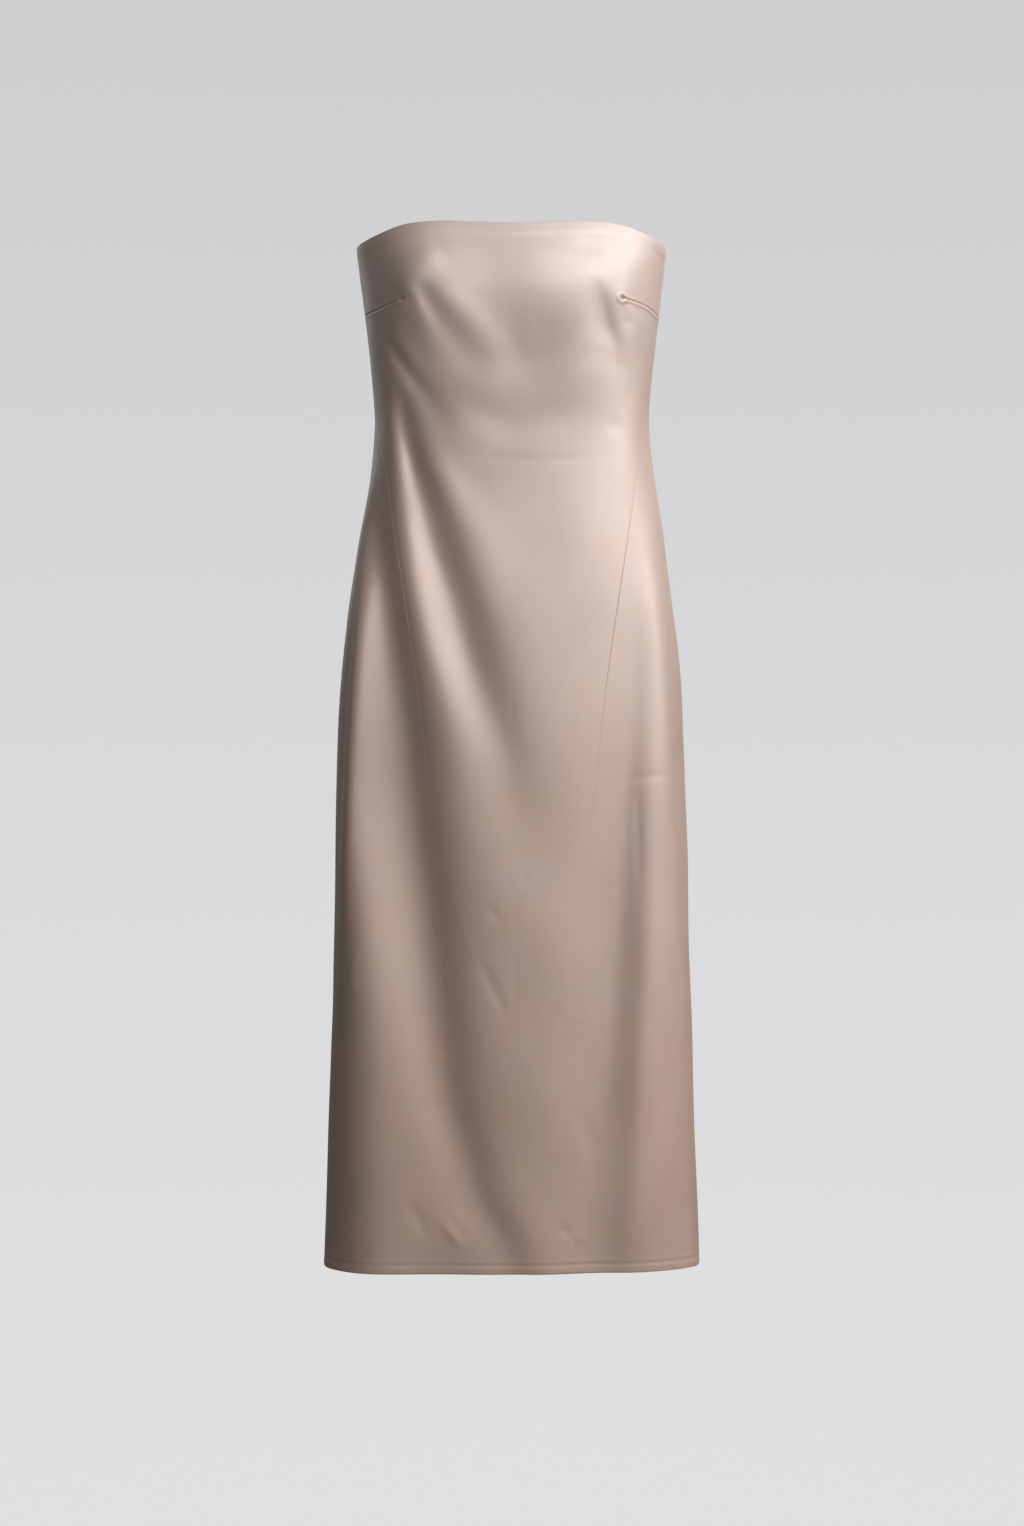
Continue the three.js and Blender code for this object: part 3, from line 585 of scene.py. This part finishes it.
def cloth_per_turn(turn, z):
    """Millimetres of cloth for each radian of turn, round the plain ring."""
    return np.linalg.norm(ring(turn + 0.01, z)[0] - ring(turn - 0.01, z)[0], axis=1) / 0.02


def fold_over(past, radius, inside=0):
    """Where cloth that runs past a fold goes: how far beyond the fold line, and how deep inside.
    The cloth may already lie some way inside, where another edge is turned in under it."""
    angle = np.clip(past / radius, 0, math.pi)
    beyond = (radius - inside) * np.sin(angle) - np.maximum(past - math.pi * radius, 0)
    return beyond, radius - (radius - inside) * np.cos(angle)


class Panel:
    """One cut piece of the dress: its two seams, whether it reaches the top edge, its columns and
    heights, which faces are divided and how often, and its flat size and area, which are kept but not used."""

    def __init__(self, name, seams, top, columns, heights, fine, flat, area):
        self.name, self.seams, self.top = name, seams, top
        self.columns, self.heights, self.fine = columns, heights, fine
        self.flat, self.area = flat, area


@contextmanager
def edit_mesh(select="SELECT"):
    """The mesh editor on the active piece, with everything selected or nothing."""
    bpy.ops.object.mode_set(mode="EDIT")
    bpy.ops.mesh.select_all(action=select)
    yield
    bpy.ops.object.mode_set(mode="OBJECT")


def choose(pieces):
    """Selects pieces and makes the first one active."""
    bpy.ops.object.select_all(action="DESELECT")
    for piece in pieces:
        piece.select_set(True)
    bpy.context.view_layer.objects.active = pieces[0]


def new_grid(name, columns, rows):
    """A flat grid of two units a side, with the wanted number of columns and rows of faces."""
    bpy.ops.mesh.primitive_grid_add(x_subdivisions=columns, y_subdivisions=rows, size=2)
    piece = bpy.context.object
    piece.name = piece.data.name = name
    return piece


def coordinates(piece):
    """The piece's vertices as rows of an array."""
    co = np.empty(len(piece.data.vertices) * 3, np.float64)
    piece.data.vertices.foreach_get("co", co)
    return co.reshape(-1, 3)


def set_coordinates(piece, points):
    piece.data.vertices.foreach_set("co", np.ascontiguousarray(points, np.float64).ravel())
    piece.data.update()


def split_faces(piece, chosen, cuts):
    """Divides the faces whose middles are chosen, by a rule on grid places."""
    choose([piece])
    with edit_mesh("DESELECT"):
        bpy.ops.mesh.select_mode(type="FACE")
        mesh = bmesh.from_edit_mesh(piece.data)
        mesh.faces.ensure_lookup_table()
        middles = np.array([face.calc_center_median() for face in mesh.faces])
        for k in np.flatnonzero(chosen(middles)):
            mesh.faces[k].select = True
        mesh.select_flush(True)
        bmesh.update_edit_mesh(piece.data)
        bpy.ops.mesh.subdivide(number_cuts=cuts)


def thicken(piece, thickness):
    """Gives the cloth its second face and closes its raw edges."""
    choose([piece])
    wall = piece.modifiers.new("wall", "SOLIDIFY")
    wall.thickness = thickness
    wall.offset = -1
    wall.use_rim = True
    bpy.ops.object.modifier_apply(modifier=wall.name)
    bpy.ops.object.shade_smooth_by_angle(angle=math.radians(65))


def face_outwards(piece):
    """Turns the mesh's faces so that those in the middle of the cloth look away from the axis."""
    total = 0.0
    for k in range(0, len(piece.data.polygons), FACE_STEP):
        face = piece.data.polygons[k]
        total += face.normal.dot(face.center * Vector((1, 1, 0)))
    if total < 0:
        with edit_mesh():
            bpy.ops.mesh.flip_normals()


def finish_piece(piece, name, material):
    """Names a piece of the dress, gives it its material and lets it ride on the dress."""
    piece.name = piece.data.name = name
    piece.data.materials.append(material)
    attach(piece, "dress")


def make_panel(panel, cloth):
    """Cuts one panel, turns its edges in and lays it on the form."""
    radius, allowance = cloth.turn_radius / MM, cloth.allowance / MM
    top = panel.heights[0][0]
    sides, above, under = (
        turned_places(width / MM, radius) for width in (cloth.allowance, cloth.top_turn, cloth.hem_turn))
    across = np.concatenate([
        [-d for d in sides], [0, SEAM_STRIP], np.linspace(0, 1, panel.columns + 1)[1:-1], [1 - SEAM_STRIP, 1],
        [1 + d for d in sides[::-1]],
    ])
    down = np.concatenate([[top + d for d in above], spaced(panel.heights), [HEM - d for d in under[::-1]]])

    def laid(co):
        """Grid places to turns, heights and depths under the outer face."""
        u = np.interp((co[:, 0] + 1) / 2 * (len(across) - 1), np.arange(len(across)), across)
        q = np.interp((1 - co[:, 1]) / 2 * (len(down) - 1), np.arange(len(down)), down)
        share, level = np.clip(u, 0, 1), np.clip(q, HEM, top)

        def turn_at(z):
            """The turn between the two seams, and about how much cloth lies between them."""
            start, end = panel.seams[0](z), panel.seams[1](z)
            press = radius + FOLD_CLEARANCE - GAP_PRESS * ease((GAP_CLOSES - z) / GAP_CLOSING)
            first, last = (
                np.minimum(press / cloth_per_turn(seam, z), 0.3 * (end - start)) for seam in (start, end))
            return start + first + share * (end - start - first - last), (end - start) * ARC

        turn, room = turn_at(level)
        for _ in range(2):  # the height of a row near the top follows the top edge
            lifted = EDGE_ZONE + (1 - level / EDGE_ZONE) * (top_edge_height(turn) - EDGE_ZONE)
            z = np.where((level > EDGE_ZONE) & panel.top, lifted, level)
            turn, room = turn_at(z)
        narrow = np.clip(room / 40, 0.02, 1)
        aside, deep_side = fold_over(np.abs(u - share) * narrow, radius)
        near_seam = ease(1 - (np.minimum(share, 1 - share) * room - allowance) / 2.5)
        near_seam = np.where(u == share, near_seam, 1) * narrow
        thick = radius * (1 + 1.6 * near_seam)
        past = np.maximum((q - top) * panel.top, np.maximum(HEM - q, 0))
        beyond, deep = fold_over(past, thick, deep_side)
        near_hem = ease((HEM + EDGE_REACH - q) / EDGE_REACH)
        near_top = ease((q - top + EDGE_REACH) / EDGE_REACH) * panel.top
        z = z + beyond * np.sign(q - level) + (near_hem - near_top) * thick
        return turn + np.sign(u - share) * aside / cloth_per_turn(turn, z), z, deep

    piece = new_grid("satin_" + panel.name, len(across) - 1, len(down) - 1)
    for rule, cuts in panel.fine:
        split_faces(piece, lambda middles, rule=rule: rule(*laid(middles)[:2]), cuts)
    turn, z, deep = laid(coordinates(piece))
    uneven = cloth.unevenness / MM
    still = deep < STILL
    points = np.empty((len(turn), 3))
    points[still] = surface(turn[still], z[still], uneven)
    points[~still] = moved_in(turn[~still], z[~still], deep[~still], uneven)
    uv = piece.data.uv_layers[0]
    uv.name = "cloth"
    loops = np.empty(len(piece.data.loops), np.int64)
    piece.data.loops.foreach_get("vertex_index", loops)
    uv.data.foreach_set("uv", np.column_stack([turn * ARC * MM, z * MM])[loops].ravel())
    set_coordinates(piece, points * MM)
    face_outwards(piece)
    thicken(piece, cloth.thickness)
    finish_piece(piece, "satin_" + panel.name, satin_material(cloth))
    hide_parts(panel.name)


def right_side(z):
    return seam_turns(z)[0]


def left_side(z):
    return math.pi - right_side(z)


def right_skirt_seam(z):
    return seam_turns(z)[1]


def left_skirt_seam(z):
    return math.pi - right_skirt_seam(z)


def back_opening(z):
    """Half of how far the middle back seam stands open for the slider's neck, in radians of turn."""
    above, below = ease((-z - 6) / 7), ease((z - SLIT_END) / 6)
    return (0.5 + 0.95 * above) * below * (z > SLIT_END) / curve(RINGS, 1, z)


def in_bodice(turn, z):
    return z > GORE_TOP - 14


def near_bust_darts(turn, z):
    point, _ = ring(turn, z)
    x = point[:, 0] * 1.02  # the cloth stands a little wider than the plain ring there
    close = np.zeros(len(x), bool)
    for points, _, _ in BUST_DARTS:
        close |= nearest(dart_line(points), x, z)[0] < 4.2
        close |= np.hypot(x - points[-1][0], z - points[-1][1]) < 9
    return close & (point[:, 1] < 0)


def near_back_darts(turn, z):
    point, _ = ring(turn, z)
    close = [nearest(dart_line(points, 12.0), point[:, 0], z)[0] < 4.5 for points in BACK_DARTS]
    return np.any(close, axis=0) & (point[:, 1] > 0)


LOW_ROWS = [(-1000, 2.6), (-1012, 1.5), (HEM, 1)]
FRONT = Panel(
    "front", (right_skirt_seam, left_skirt_seam), True, 82, [(0, 4), (-60, 5), (-200, 3.6), *LOW_ROWS],
    [(in_bodice, 1), (near_bust_darts, 2)], (0.41, 1.064), 0.262,
)
SIDE_FRONTS = [
    Panel("side_front_" + side, seams, False, 44, [(GORE_TOP, 3.6), *LOW_ROWS], [], (0.165, 0.842), 0.124)
    for side, seams in (("right", (right_side, right_skirt_seam)), ("left", (left_skirt_seam, left_side)))
]
BACKS = [
    Panel(
        "back_" + side, seams, True, 78, [(0, 2), (-36, 4), (-60, 4.5), (-320, 4), *LOW_ROWS],
        [(near_back_darts, 2)], (0.295, 1.046), 0.28,
    )
    for side, seams in (
        ("left", (left_side, lambda z: MIDDLE_BACK - back_opening(z))),
        ("right", (lambda z: MIDDLE_BACK + back_opening(z), lambda z: 2 * math.pi + right_side(z))),
    )
]


def stitch_turns(seams, stitches):
    """Where the stitches of one panel's hem are, a pitch apart along the cloth."""
    z = HEM + stitches.height / MM
    start, end = (float(seam(np.array([z]))[0]) for seam in seams)
    fine = np.linspace(start, end, 600)
    steps = np.linalg.norm(np.diff(surface(fine, np.full_like(fine, z)), axis=0), axis=1)
    reach = np.concatenate([[0], np.cumsum(steps)])
    count = round(reach[-1] * MM / stitches.pitch)
    return np.interp((np.arange(count) + 0.5) * reach[-1] / count, reach, fine), z


def new_circle(sides, radius, fill, rotation):
    """A small circle whose own axes are the scene's, for thread or wire."""
    bpy.ops.mesh.primitive_circle_add(vertices=sides, radius=radius, fill_type=fill, rotation=rotation)
    bpy.ops.object.transform_apply(location=True, rotation=True, scale=True)
    return bpy.context.object


def model_stitch(stitches):
    """One stitch: a short length of thread along X whose ends dip into the cloth."""
    long, thick = 0.72 * stitches.pitch, stitches.thread
    stitch = new_circle(6, thick / 2, "NGON", (0, math.pi / 2, 0))
    with edit_mesh():
        bpy.ops.transform.resize(value=(1, 0.55, 0.55))
        bpy.ops.transform.translate(value=(-long / 2, 0, -0.7 * thick))
        for step, rise, grow in ((0.22, 0.62, 1.8), (0.56, 0.0, 1.0), (0.22, -0.62, 0.55)):
            bpy.ops.mesh.extrude_region_move(
                TRANSFORM_OT_translate={"value": (step * long, 0, rise * thick)})
            bpy.ops.transform.resize(value=(1, grow, grow))
        bpy.ops.mesh.select_all(action="SELECT")
        bpy.ops.mesh.normals_make_consistent(inside=False)
    return stitch


def make_stitches(panel, master, stitches, cloth, material):
    """The row of topstitching on one panel's hem, each stitch a copy with its own mesh."""
    turns, z = stitch_turns(panel.seams, stitches)
    level, uneven = np.full_like(turns, z), cloth.unevenness / MM
    origin = surface(turns, level, uneven)
    along_row = unit(surface(turns + 0.005, level, uneven) - surface(turns - 0.005, level, uneven))
    up = surface(turns, level + 0.4, uneven) - surface(turns, level - 0.4, uneven)
    outward = unit(np.cross(along_row, up))
    base = coordinates(master)
    copies = []
    for place, x_axis, z_axis in zip(origin, along_row, outward):
        each = master.copy()
        each.data = master.data.copy()
        bpy.context.collection.objects.link(each)
        axes = np.array([x_axis, np.cross(z_axis, x_axis), z_axis])
        set_coordinates(each, place * MM + z_axis * 0.35 * stitches.thread + base @ axes)
        copies.append(each)
    choose(copies)
    bpy.ops.object.join()
    bpy.ops.object.shade_smooth_by_angle(angle=math.radians(60))
    finish_piece(bpy.context.object, "hem_topstitch_" + panel.name, material)


def behind(side, across, z, depth, cloth):
    """Points inside the back, by millimetres from its middle seam and under the outer face."""
    turn = MIDDLE_BACK - np.arcsin(side * across / curve(RINGS, 1, z))
    return moved_in(turn, z, depth, cloth.unevenness / MM) * MM


def make_coil(side, name, zipper, cloth, material):
    """One half of the chain: a wire wound round the tape's edge."""
    coil = new_circle(COIL["sides"], zipper.wire / 2, "NOTHING", (math.pi / 2, 0, 0))
    with edit_mesh():
        bpy.ops.transform.translate(value=(COIL["radius"] * MM, 0, 0))
    wound = coil.modifiers.new("wound", "SCREW")
    wound.axis = "Z"
    wound.screw_offset = zipper.pitch
    wound.iterations = int((COIL["top"] - COIL["bottom"]) * MM / zipper.pitch)
    wound.steps = wound.render_steps = COIL["steps"]
    bpy.ops.object.modifier_apply(modifier=wound.name)
    with edit_mesh():
        bpy.ops.mesh.fill_holes(sides=0)
    co = coordinates(coil) / MM
    shift = 0.25 * zipper.pitch / MM * (1 + side)  # the teeth of one side stand between the other's
    set_coordinates(coil, behind(
        side, COIL["across"] + co[:, 0], COIL["bottom"] + shift + co[:, 2], COIL["depth"] + co[:, 1], cloth))
    with edit_mesh():
        bpy.ops.mesh.normals_make_consistent(inside=False)
    bpy.ops.object.shade_smooth_by_angle(angle=math.radians(80))
    finish_piece(coil, name, material)


def make_tape(side, name, zipper, cloth, material):
    """One knitted tape, with its coil along the edge at the opening."""
    make_coil(side, "coil_" + name, zipper, cloth, coil_material(zipper))
    tape = new_grid("tape_" + name, TAPE["columns"], TAPE["rows"])
    co = coordinates(tape)
    share, down = (co[:, 0] + 1) / 2, (1 - co[:, 1]) / 2
    width, length = TAPE["outer"] - TAPE["inner"], TAPE["top"] - TAPE["bottom"]
    z = TAPE["top"] - down * length
    across = TAPE["inner"] + share * width - 0.12 * share * (1 + np.sin(z * 0.9 + 2 * side))
    depth = TAPE["depth"] + 0.1 * np.sin(z * 0.21 + side) * share
    set_coordinates(tape, behind(side, across, z, depth, cloth))
    face_outwards(tape)
    thicken(tape, TAPE["thickness"] * MM)
    finish_piece(tape, "tape_" + name, material)
    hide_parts("zip_tape_" + name)


class Wire:
    """A socket of a node tree that does arithmetic."""

    def __init__(self, tree, socket=None):
        self.tree = tree
        self.socket = socket

    def node(self, kind, output=0, settings=None, **inputs):
        """Adds a node: its settings are set first, then the values or links of its sockets, by
        name or as i and a number. Gives one of its outputs."""
        made = self.tree.nodes.new(kind)
        for name, value in (settings or {}).items():
            setattr(made, name, value)
        for name, value in inputs.items():
            socket = made.inputs[int(name[1:]) if name[1:].isdigit() else name.replace("_", " ")]
            if isinstance(value, Wire):
                self.tree.links.new(value.socket, socket)
            else:
                socket.default_value = value
        return Wire(self.tree, made.outputs[output])

    def math(self, operation, first, second):
        return self.node("ShaderNodeMath", 0, {"operation": operation}, i0=first, i1=second)

    def __add__(self, other):
        return self.math("ADD", self, other)

    def __radd__(self, other):
        return self.math("ADD", other, self)

    def __sub__(self, other):
        return self.math("SUBTRACT", self, other)

    def __rsub__(self, other):
        return self.math("SUBTRACT", other, self)

    def __mul__(self, other):
        return self.math("MULTIPLY", self, other)

    def __rmul__(self, other):
        return self.math("MULTIPLY", other, self)

    def blend(self, low, high):
        """A colour between two, by this value."""
        return self.node("ShaderNodeMix", 2, {"data_type": "RGBA"}, Factor=self, i6=low, i7=high)

    def between(self, low, high):
        """This value's place between two others, from 0 to 1."""
        return self.node("ShaderNodeMapRange", Value=self, From_Min=low, From_Max=high)


def new_material(name):
    """An empty material, its shader and a place to start from: object coordinates."""
    material = bpy.data.materials.new(name)
    material.use_nodes = True
    tree = material.node_tree
    return material, tree.nodes["Principled BSDF"], Wire(tree).node("ShaderNodeTexCoord", 3)


def noise(place, scale, detail=2.0, roughness=0.5):
    """Soft random patches, from 0 to 1."""
    return place.node("ShaderNodeTexNoise", Vector=place, Scale=scale, Detail=detail, Roughness=roughness)


def stretched(place, scale):
    return place.node("ShaderNodeMapping", Vector=place, Scale=scale)


def bands(place, direction, **inputs):
    """Fine stripes in one direction."""
    settings = {"wave_type": "BANDS", "bands_direction": direction}
    return place.node("ShaderNodeTexWave", 0, settings, Vector=place, **inputs)


def shade(colour, factor=1.0):
    """A colour made lighter or darker, with the alpha that a socket needs."""
    return (*(factor * part for part in colour), 1.0)


def feed(shader, base, rough, height, strength, distance):
    """Gives the shader its colour, its roughness and a bump."""
    bump = height.node("ShaderNodeBump", Strength=strength, Distance=distance, Height=height)
    for name, wire in (("Base Color", base), ("Roughness", rough), ("Normal", bump)):
        wire.tree.links.new(wire.socket, shader.inputs[name])


def satin_material(cloth):
    """Heavy satin: fine floats along the warp, a soft broad gloss and slight mottling. Its colour is painted
    lighter at the bust and darker and browner towards the hem: painted light and shade by height.
    """
    made = bpy.data.materials.get("heavy satin")
    if made:
        return made
    material, shader, place = new_material("heavy satin")
    flat = place.node("ShaderNodeUVMap", 0, {"uv_map": "cloth"})
    clouds = noise(place, 9.0, 4.0, 0.55)
    patches = noise(stretched(place, (1.0, 1.0, 0.45)), 30.0, 3.0, 0.6)
    floats = noise(stretched(flat, (2600.0, 420.0, 1.0)), 1.0, 2.0, 0.6)
    slubs = noise(stretched(flat, (190.0, 16.0, 1.0)), 1.0)
    mottling = clouds * 0.6 + patches * 0.25 + slubs * 0.15
    # Painted light and shade: by height the colour goes from the lighter bust colour to the darker, browner
    # hem colour, standing in for light that falls from above
    up = place.node("ShaderNodeSeparateXYZ", 2, Vector=place).between(-0.85, 0.02)
    plain = up.blend(shade(cloth.satin_hem_with_painted_shade), shade(cloth.satin))
    hue = noise(place, 15.0, 4.0, 0.62).blend(shade((0.905, 1.04, 1.11)), shade((1.095, 0.96, 0.9)))
    tinted = place.node("ShaderNodeVectorMath", 0, {"operation": "MULTIPLY"}, i0=plain, i1=hue)
    base = place.node(
        "ShaderNodeVectorMath", 0, {"operation": "SCALE"}, Vector=tinted, Scale=mottling * 0.36 + 0.82)
    rough = clouds * 0.08 + floats * 0.06 - up * 0.06 + (cloth.gloss - 0.04)
    feed(shader, base, rough, floats * 0.000006 + patches * 0.00022, 0.55, 1.0)
    shader.inputs["IOR"].default_value = 1.9
    shader.inputs["Specular IOR Level"].default_value = 1.0
    shader.inputs["Specular Tint"].default_value = (1.0, 0.96, 0.93, 1.0)
    return material


def thread_material(stitches):
    """Polyester sewing thread: two fine plies and a little shine."""
    material, shader, place = new_material("sewing thread")
    ply = bands(place, "DIAGONAL", Scale=900.0, Distortion=1.0)
    tone = noise(place, 260.0)
    # Partly painted shade: the colour is darker in the grooves between the plies, where the bump is low; the
    # noise adds random tone
    base = (ply * 0.5 + tone * 0.5).blend(shade(stitches.colour, 0.8), shade(stitches.colour, 1.12))
    feed(shader, base, tone * 0.15 + 0.4, ply, 0.4, 0.0001)
    return material


def tape_material(zipper):
    """Knitted zip tape: fine courses with a soft surface."""
    material, shader, place = new_material("zip tape knit")
    courses = bands(place, "Z", Scale=220.0, Distortion=1.2, Detail=1.0)
    fuzz = noise(place, 900.0)
    # Partly painted shade: the colour is darker between the knitted courses, where the bump is low; the fuzz
    # adds random tone
    base = (courses * 0.6 + fuzz * 0.4).blend(shade(zipper.tape, 0.78), shade(zipper.tape))
    feed(shader, base, fuzz * 0.12 + 0.74, courses * 0.7 + fuzz * 0.3, 0.6, 0.0002)
    return material


def lacquer_material(zipper):
    """Lacquered zinc: smooth, glossy, with faint specks and duller handling marks."""
    material, shader, place = new_material("slider lacquer")
    specks = noise(place, 2400.0)
    marks = noise(place, 300.0, 3.0, 0.6)
    base = (specks * 0.35 + marks * 0.4).blend(shade(zipper.lacquer, 0.82), shade(zipper.lacquer))
    feed(shader, base, marks * 0.18 + 0.2, specks, 0.15, 0.00005)
    shader.inputs["Coat Weight"].default_value = 0.6
    shader.inputs["Coat Roughness"].default_value = 0.12
    return material


def coil_material(zipper):
    """The nylon wire of the coil: a little milky and shiny."""
    material, shader, place = new_material("coil nylon")
    tone = noise(place, 700.0)
    base = tone.blend(shade(zipper.tape, 0.7), shade(zipper.tape, 1.1))
    feed(shader, base, tone * 0.15 + 0.28, tone, 0.2, 0.00005)
    return material


def backdrop_material(stage):
    """Studio paper whose brightness is painted light: it glows and takes no light, brightest on the floor
    near the middle and darker up the wall.
    """
    material, shader, place = new_material("studio paper")
    up = place.node("ShaderNodeSeparateXYZ", 2, Vector=place).between(-1.2, 1.6)
    out = place.node("ShaderNodeVectorMath", 1, {"operation": "LENGTH"}, Vector=place).between(1.6, 5.2)
    # Painted light: the glow is brightest on the floor near the middle, a little less further out, and darker
    # up the wall, as light falling on a studio sweep
    near, far, wall = (
        shade((level, level, blue), stage.tone) for level, blue in ((1.08, 1.095), (1.04, 1.06), (0.9, 0.92)))
    paper = up.blend(out.blend(near, far), wall)
    paper.tree.links.new(paper.socket, shader.inputs["Emission Color"])
    shader.inputs["Base Color"].default_value = (0.0, 0.0, 0.0, 1.0)
    shader.inputs["Specular IOR Level"].default_value = 0.0
    shader.inputs["Emission Strength"].default_value = 1.0
    return material


def make_backdrop(stage):
    """A round floor that curves up into the wall, all of one sheet of paper."""
    floor = stage.radius - COVE
    bpy.ops.mesh.primitive_circle_add(
        vertices=96, radius=floor, fill_type="NGON", location=(0, 0, stage.floor))
    sweep = bpy.context.object
    sweep.name = sweep.data.name = "studio_sweep"
    with edit_mesh():
        bpy.ops.mesh.select_mode(type="EDGE")
        bpy.ops.mesh.region_to_loop()
        before = (floor, 0.0)
        for angle in np.linspace(0, math.pi / 2, COVE_STEPS + 1)[1:]:
            out, up = floor + COVE * math.sin(angle), COVE * (1 - math.cos(angle))
            bpy.ops.mesh.extrude_edges_move(TRANSFORM_OT_translate={"value": (0, 0, up - before[1])})
            grow = out / before[0]
            bpy.ops.transform.resize(value=(grow, grow, 1), center_override=(0, 0, 0))
            before = (out, up)
        bpy.ops.mesh.extrude_edges_move(TRANSFORM_OT_translate={"value": (0, 0, WALL)})
    bpy.ops.object.transform_apply(location=True, rotation=True, scale=True)
    bpy.ops.object.shade_smooth()
    sweep.data.materials.append(backdrop_material(stage))
    sweep.visible_diffuse = sweep.visible_glossy = False
    sweep.visible_shadow = sweep.visible_transmission = False


class DRESS_OT_front(bpy.types.Operator):
    """Cut the front: the bodice and the middle of the skirt in one, with its bust darts"""

    bl_idname = "dress.front"
    bl_label = "Front"

    def execute(self, context):
        make_panel(FRONT, context.scene.dress_cloth)
        return {"FINISHED"}


class DRESS_OT_side_fronts(bpy.types.Operator):
    """Cut the two side front pieces of the skirt"""

    bl_idname = "dress.side_fronts"
    bl_label = "Side fronts"

    def execute(self, context):
        for panel in SIDE_FRONTS:
            make_panel(panel, context.scene.dress_cloth)
        return {"FINISHED"}


class DRESS_OT_backs(bpy.types.Operator):
    """Cut the two back pieces with their waist darts"""

    bl_idname = "dress.backs"
    bl_label = "Backs"

    def execute(self, context):
        for panel in BACKS:
            make_panel(panel, context.scene.dress_cloth)
        return {"FINISHED"}


class DRESS_OT_topstitch(bpy.types.Operator):
    """Sew the row of topstitching above the hem, one row on each cut piece"""

    bl_idname = "dress.topstitch"
    bl_label = "Hem topstitching"

    def execute(self, context):
        scene = context.scene
        material = thread_material(scene.dress_stitch)
        master = model_stitch(scene.dress_stitch)
        for panel in (FRONT, *SIDE_FRONTS, *BACKS):
            make_stitches(panel, master, scene.dress_stitch, scene.dress_cloth, material)
        bpy.data.objects.remove(master)
        return {"FINISHED"}


class DRESS_OT_zip(bpy.types.Operator):
    """Make the two knitted tapes of the concealed zip with their coils"""

    bl_idname = "dress.zip"
    bl_label = "Zip tapes and coils"

    def execute(self, context):
        scene = context.scene
        material = tape_material(scene.dress_zip)
        for side, name in ((1, "left"), (-1, "right")):
            make_tape(side, name, scene.dress_zip, scene.dress_cloth, material)
        return {"FINISHED"}


class DRESS_OT_slider(bpy.types.Operator):
    """Lacquer the zip's slider and its pull"""

    bl_idname = "dress.slider"
    bl_label = "Slider and pull"

    def execute(self, context):
        lacquer = lacquer_material(context.scene.dress_zip)
        for name in ("zip_slider", "zip_pull"):
            for each in bpy.data.objects[name].material_slots:
                each.material = lacquer
        return {"FINISHED"}


class DRESS_OT_studio(bpy.types.Operator):
    """Set up the plain studio: paper sweep, soft lights and the camera"""

    bl_idname = "dress.studio"
    bl_label = "Studio"

    def execute(self, context):
        scene = context.scene
        make_backdrop(scene.dress_stage)
        for name, place, size, share, aim, spread in LIGHTS:
            bpy.ops.object.light_add(type="AREA", location=place)
            light = context.object
            light.name = light.data.name = name
            light.data.shape = "RECTANGLE"
            light.data.size, light.data.size_y = size
            light.data.energy = share * scene.dress_stage.key
            light.data.color = (1.0, 0.985, 0.97)
            light.data.spread = math.radians(spread)
            towards = Vector((0, 0, aim)) - Vector(place)
            light.rotation_euler = towards.to_track_quat("-Z", "Y").to_euler()
            light.visible_camera = False

        scene.world = bpy.data.worlds.new("studio air")
        scene.world.use_nodes = True
        air = scene.world.node_tree.nodes["Background"]
        air.inputs["Color"].default_value = (0.80, 0.81, 0.84, 1.0)
        air.inputs["Strength"].default_value = 0.115

        bpy.ops.object.camera_add(location=(0, -3.4, -0.5238), rotation=(math.pi / 2, 0, 0))
        scene.camera = context.object
        scene.camera.name = scene.camera.data.name = "camera"
        scene.camera.data.sensor_width = 36
        scene.camera.data.lens = scene.dress_stage.lens
        scene.camera.data.clip_start = 0.05
        scene.camera.data.clip_end = 60
        scene.view_settings.view_transform = "Standard"
        return {"FINISHED"}


class DRESS_PT_panel(bpy.types.Panel):
    """The settings of the dress, and its steps in the order they are made"""

    bl_idname = "DRESS_PT_panel"
    bl_label = "Strapless dress"
    bl_space_type = "VIEW_3D"
    bl_region_type = "UI"
    bl_category = "Dress"

    def draw(self, context):
        for name in SETTINGS:
            box = self.layout.box()
            group = getattr(context.scene, name)
            for setting in group.__annotations__:
                box.prop(group, setting)
        for step in STEPS:
            self.layout.operator(step.bl_idname)


SETTINGS = {
    "dress_cloth": ClothSettings, "dress_stitch": StitchSettings, "dress_zip": ZipSettings,
    "dress_stage": StageSettings,
}
STEPS = [
    DRESS_OT_topstitch, DRESS_OT_front, DRESS_OT_side_fronts, DRESS_OT_backs, DRESS_OT_zip, DRESS_OT_slider,
    DRESS_OT_studio,
]
CLASSES = [*SETTINGS.values(), *STEPS, DRESS_PT_panel]


def register():
    for item in CLASSES:
        bpy.utils.register_class(item)
    for name, group in SETTINGS.items():
        setattr(bpy.types.Scene, name, PointerProperty(type=group))


def unregister():
    for name in SETTINGS:
        delattr(bpy.types.Scene, name)
    for item in reversed(CLASSES):
        bpy.utils.unregister_class(item)


def main():
    register()
    bpy.ops.dress.topstitch()
    bpy.ops.dress.front()
    bpy.ops.dress.side_fronts()
    bpy.ops.dress.backs()
    bpy.ops.dress.zip()
    bpy.ops.dress.slider()
    bpy.ops.dress.studio()


if __name__ == "__main__":
    main()
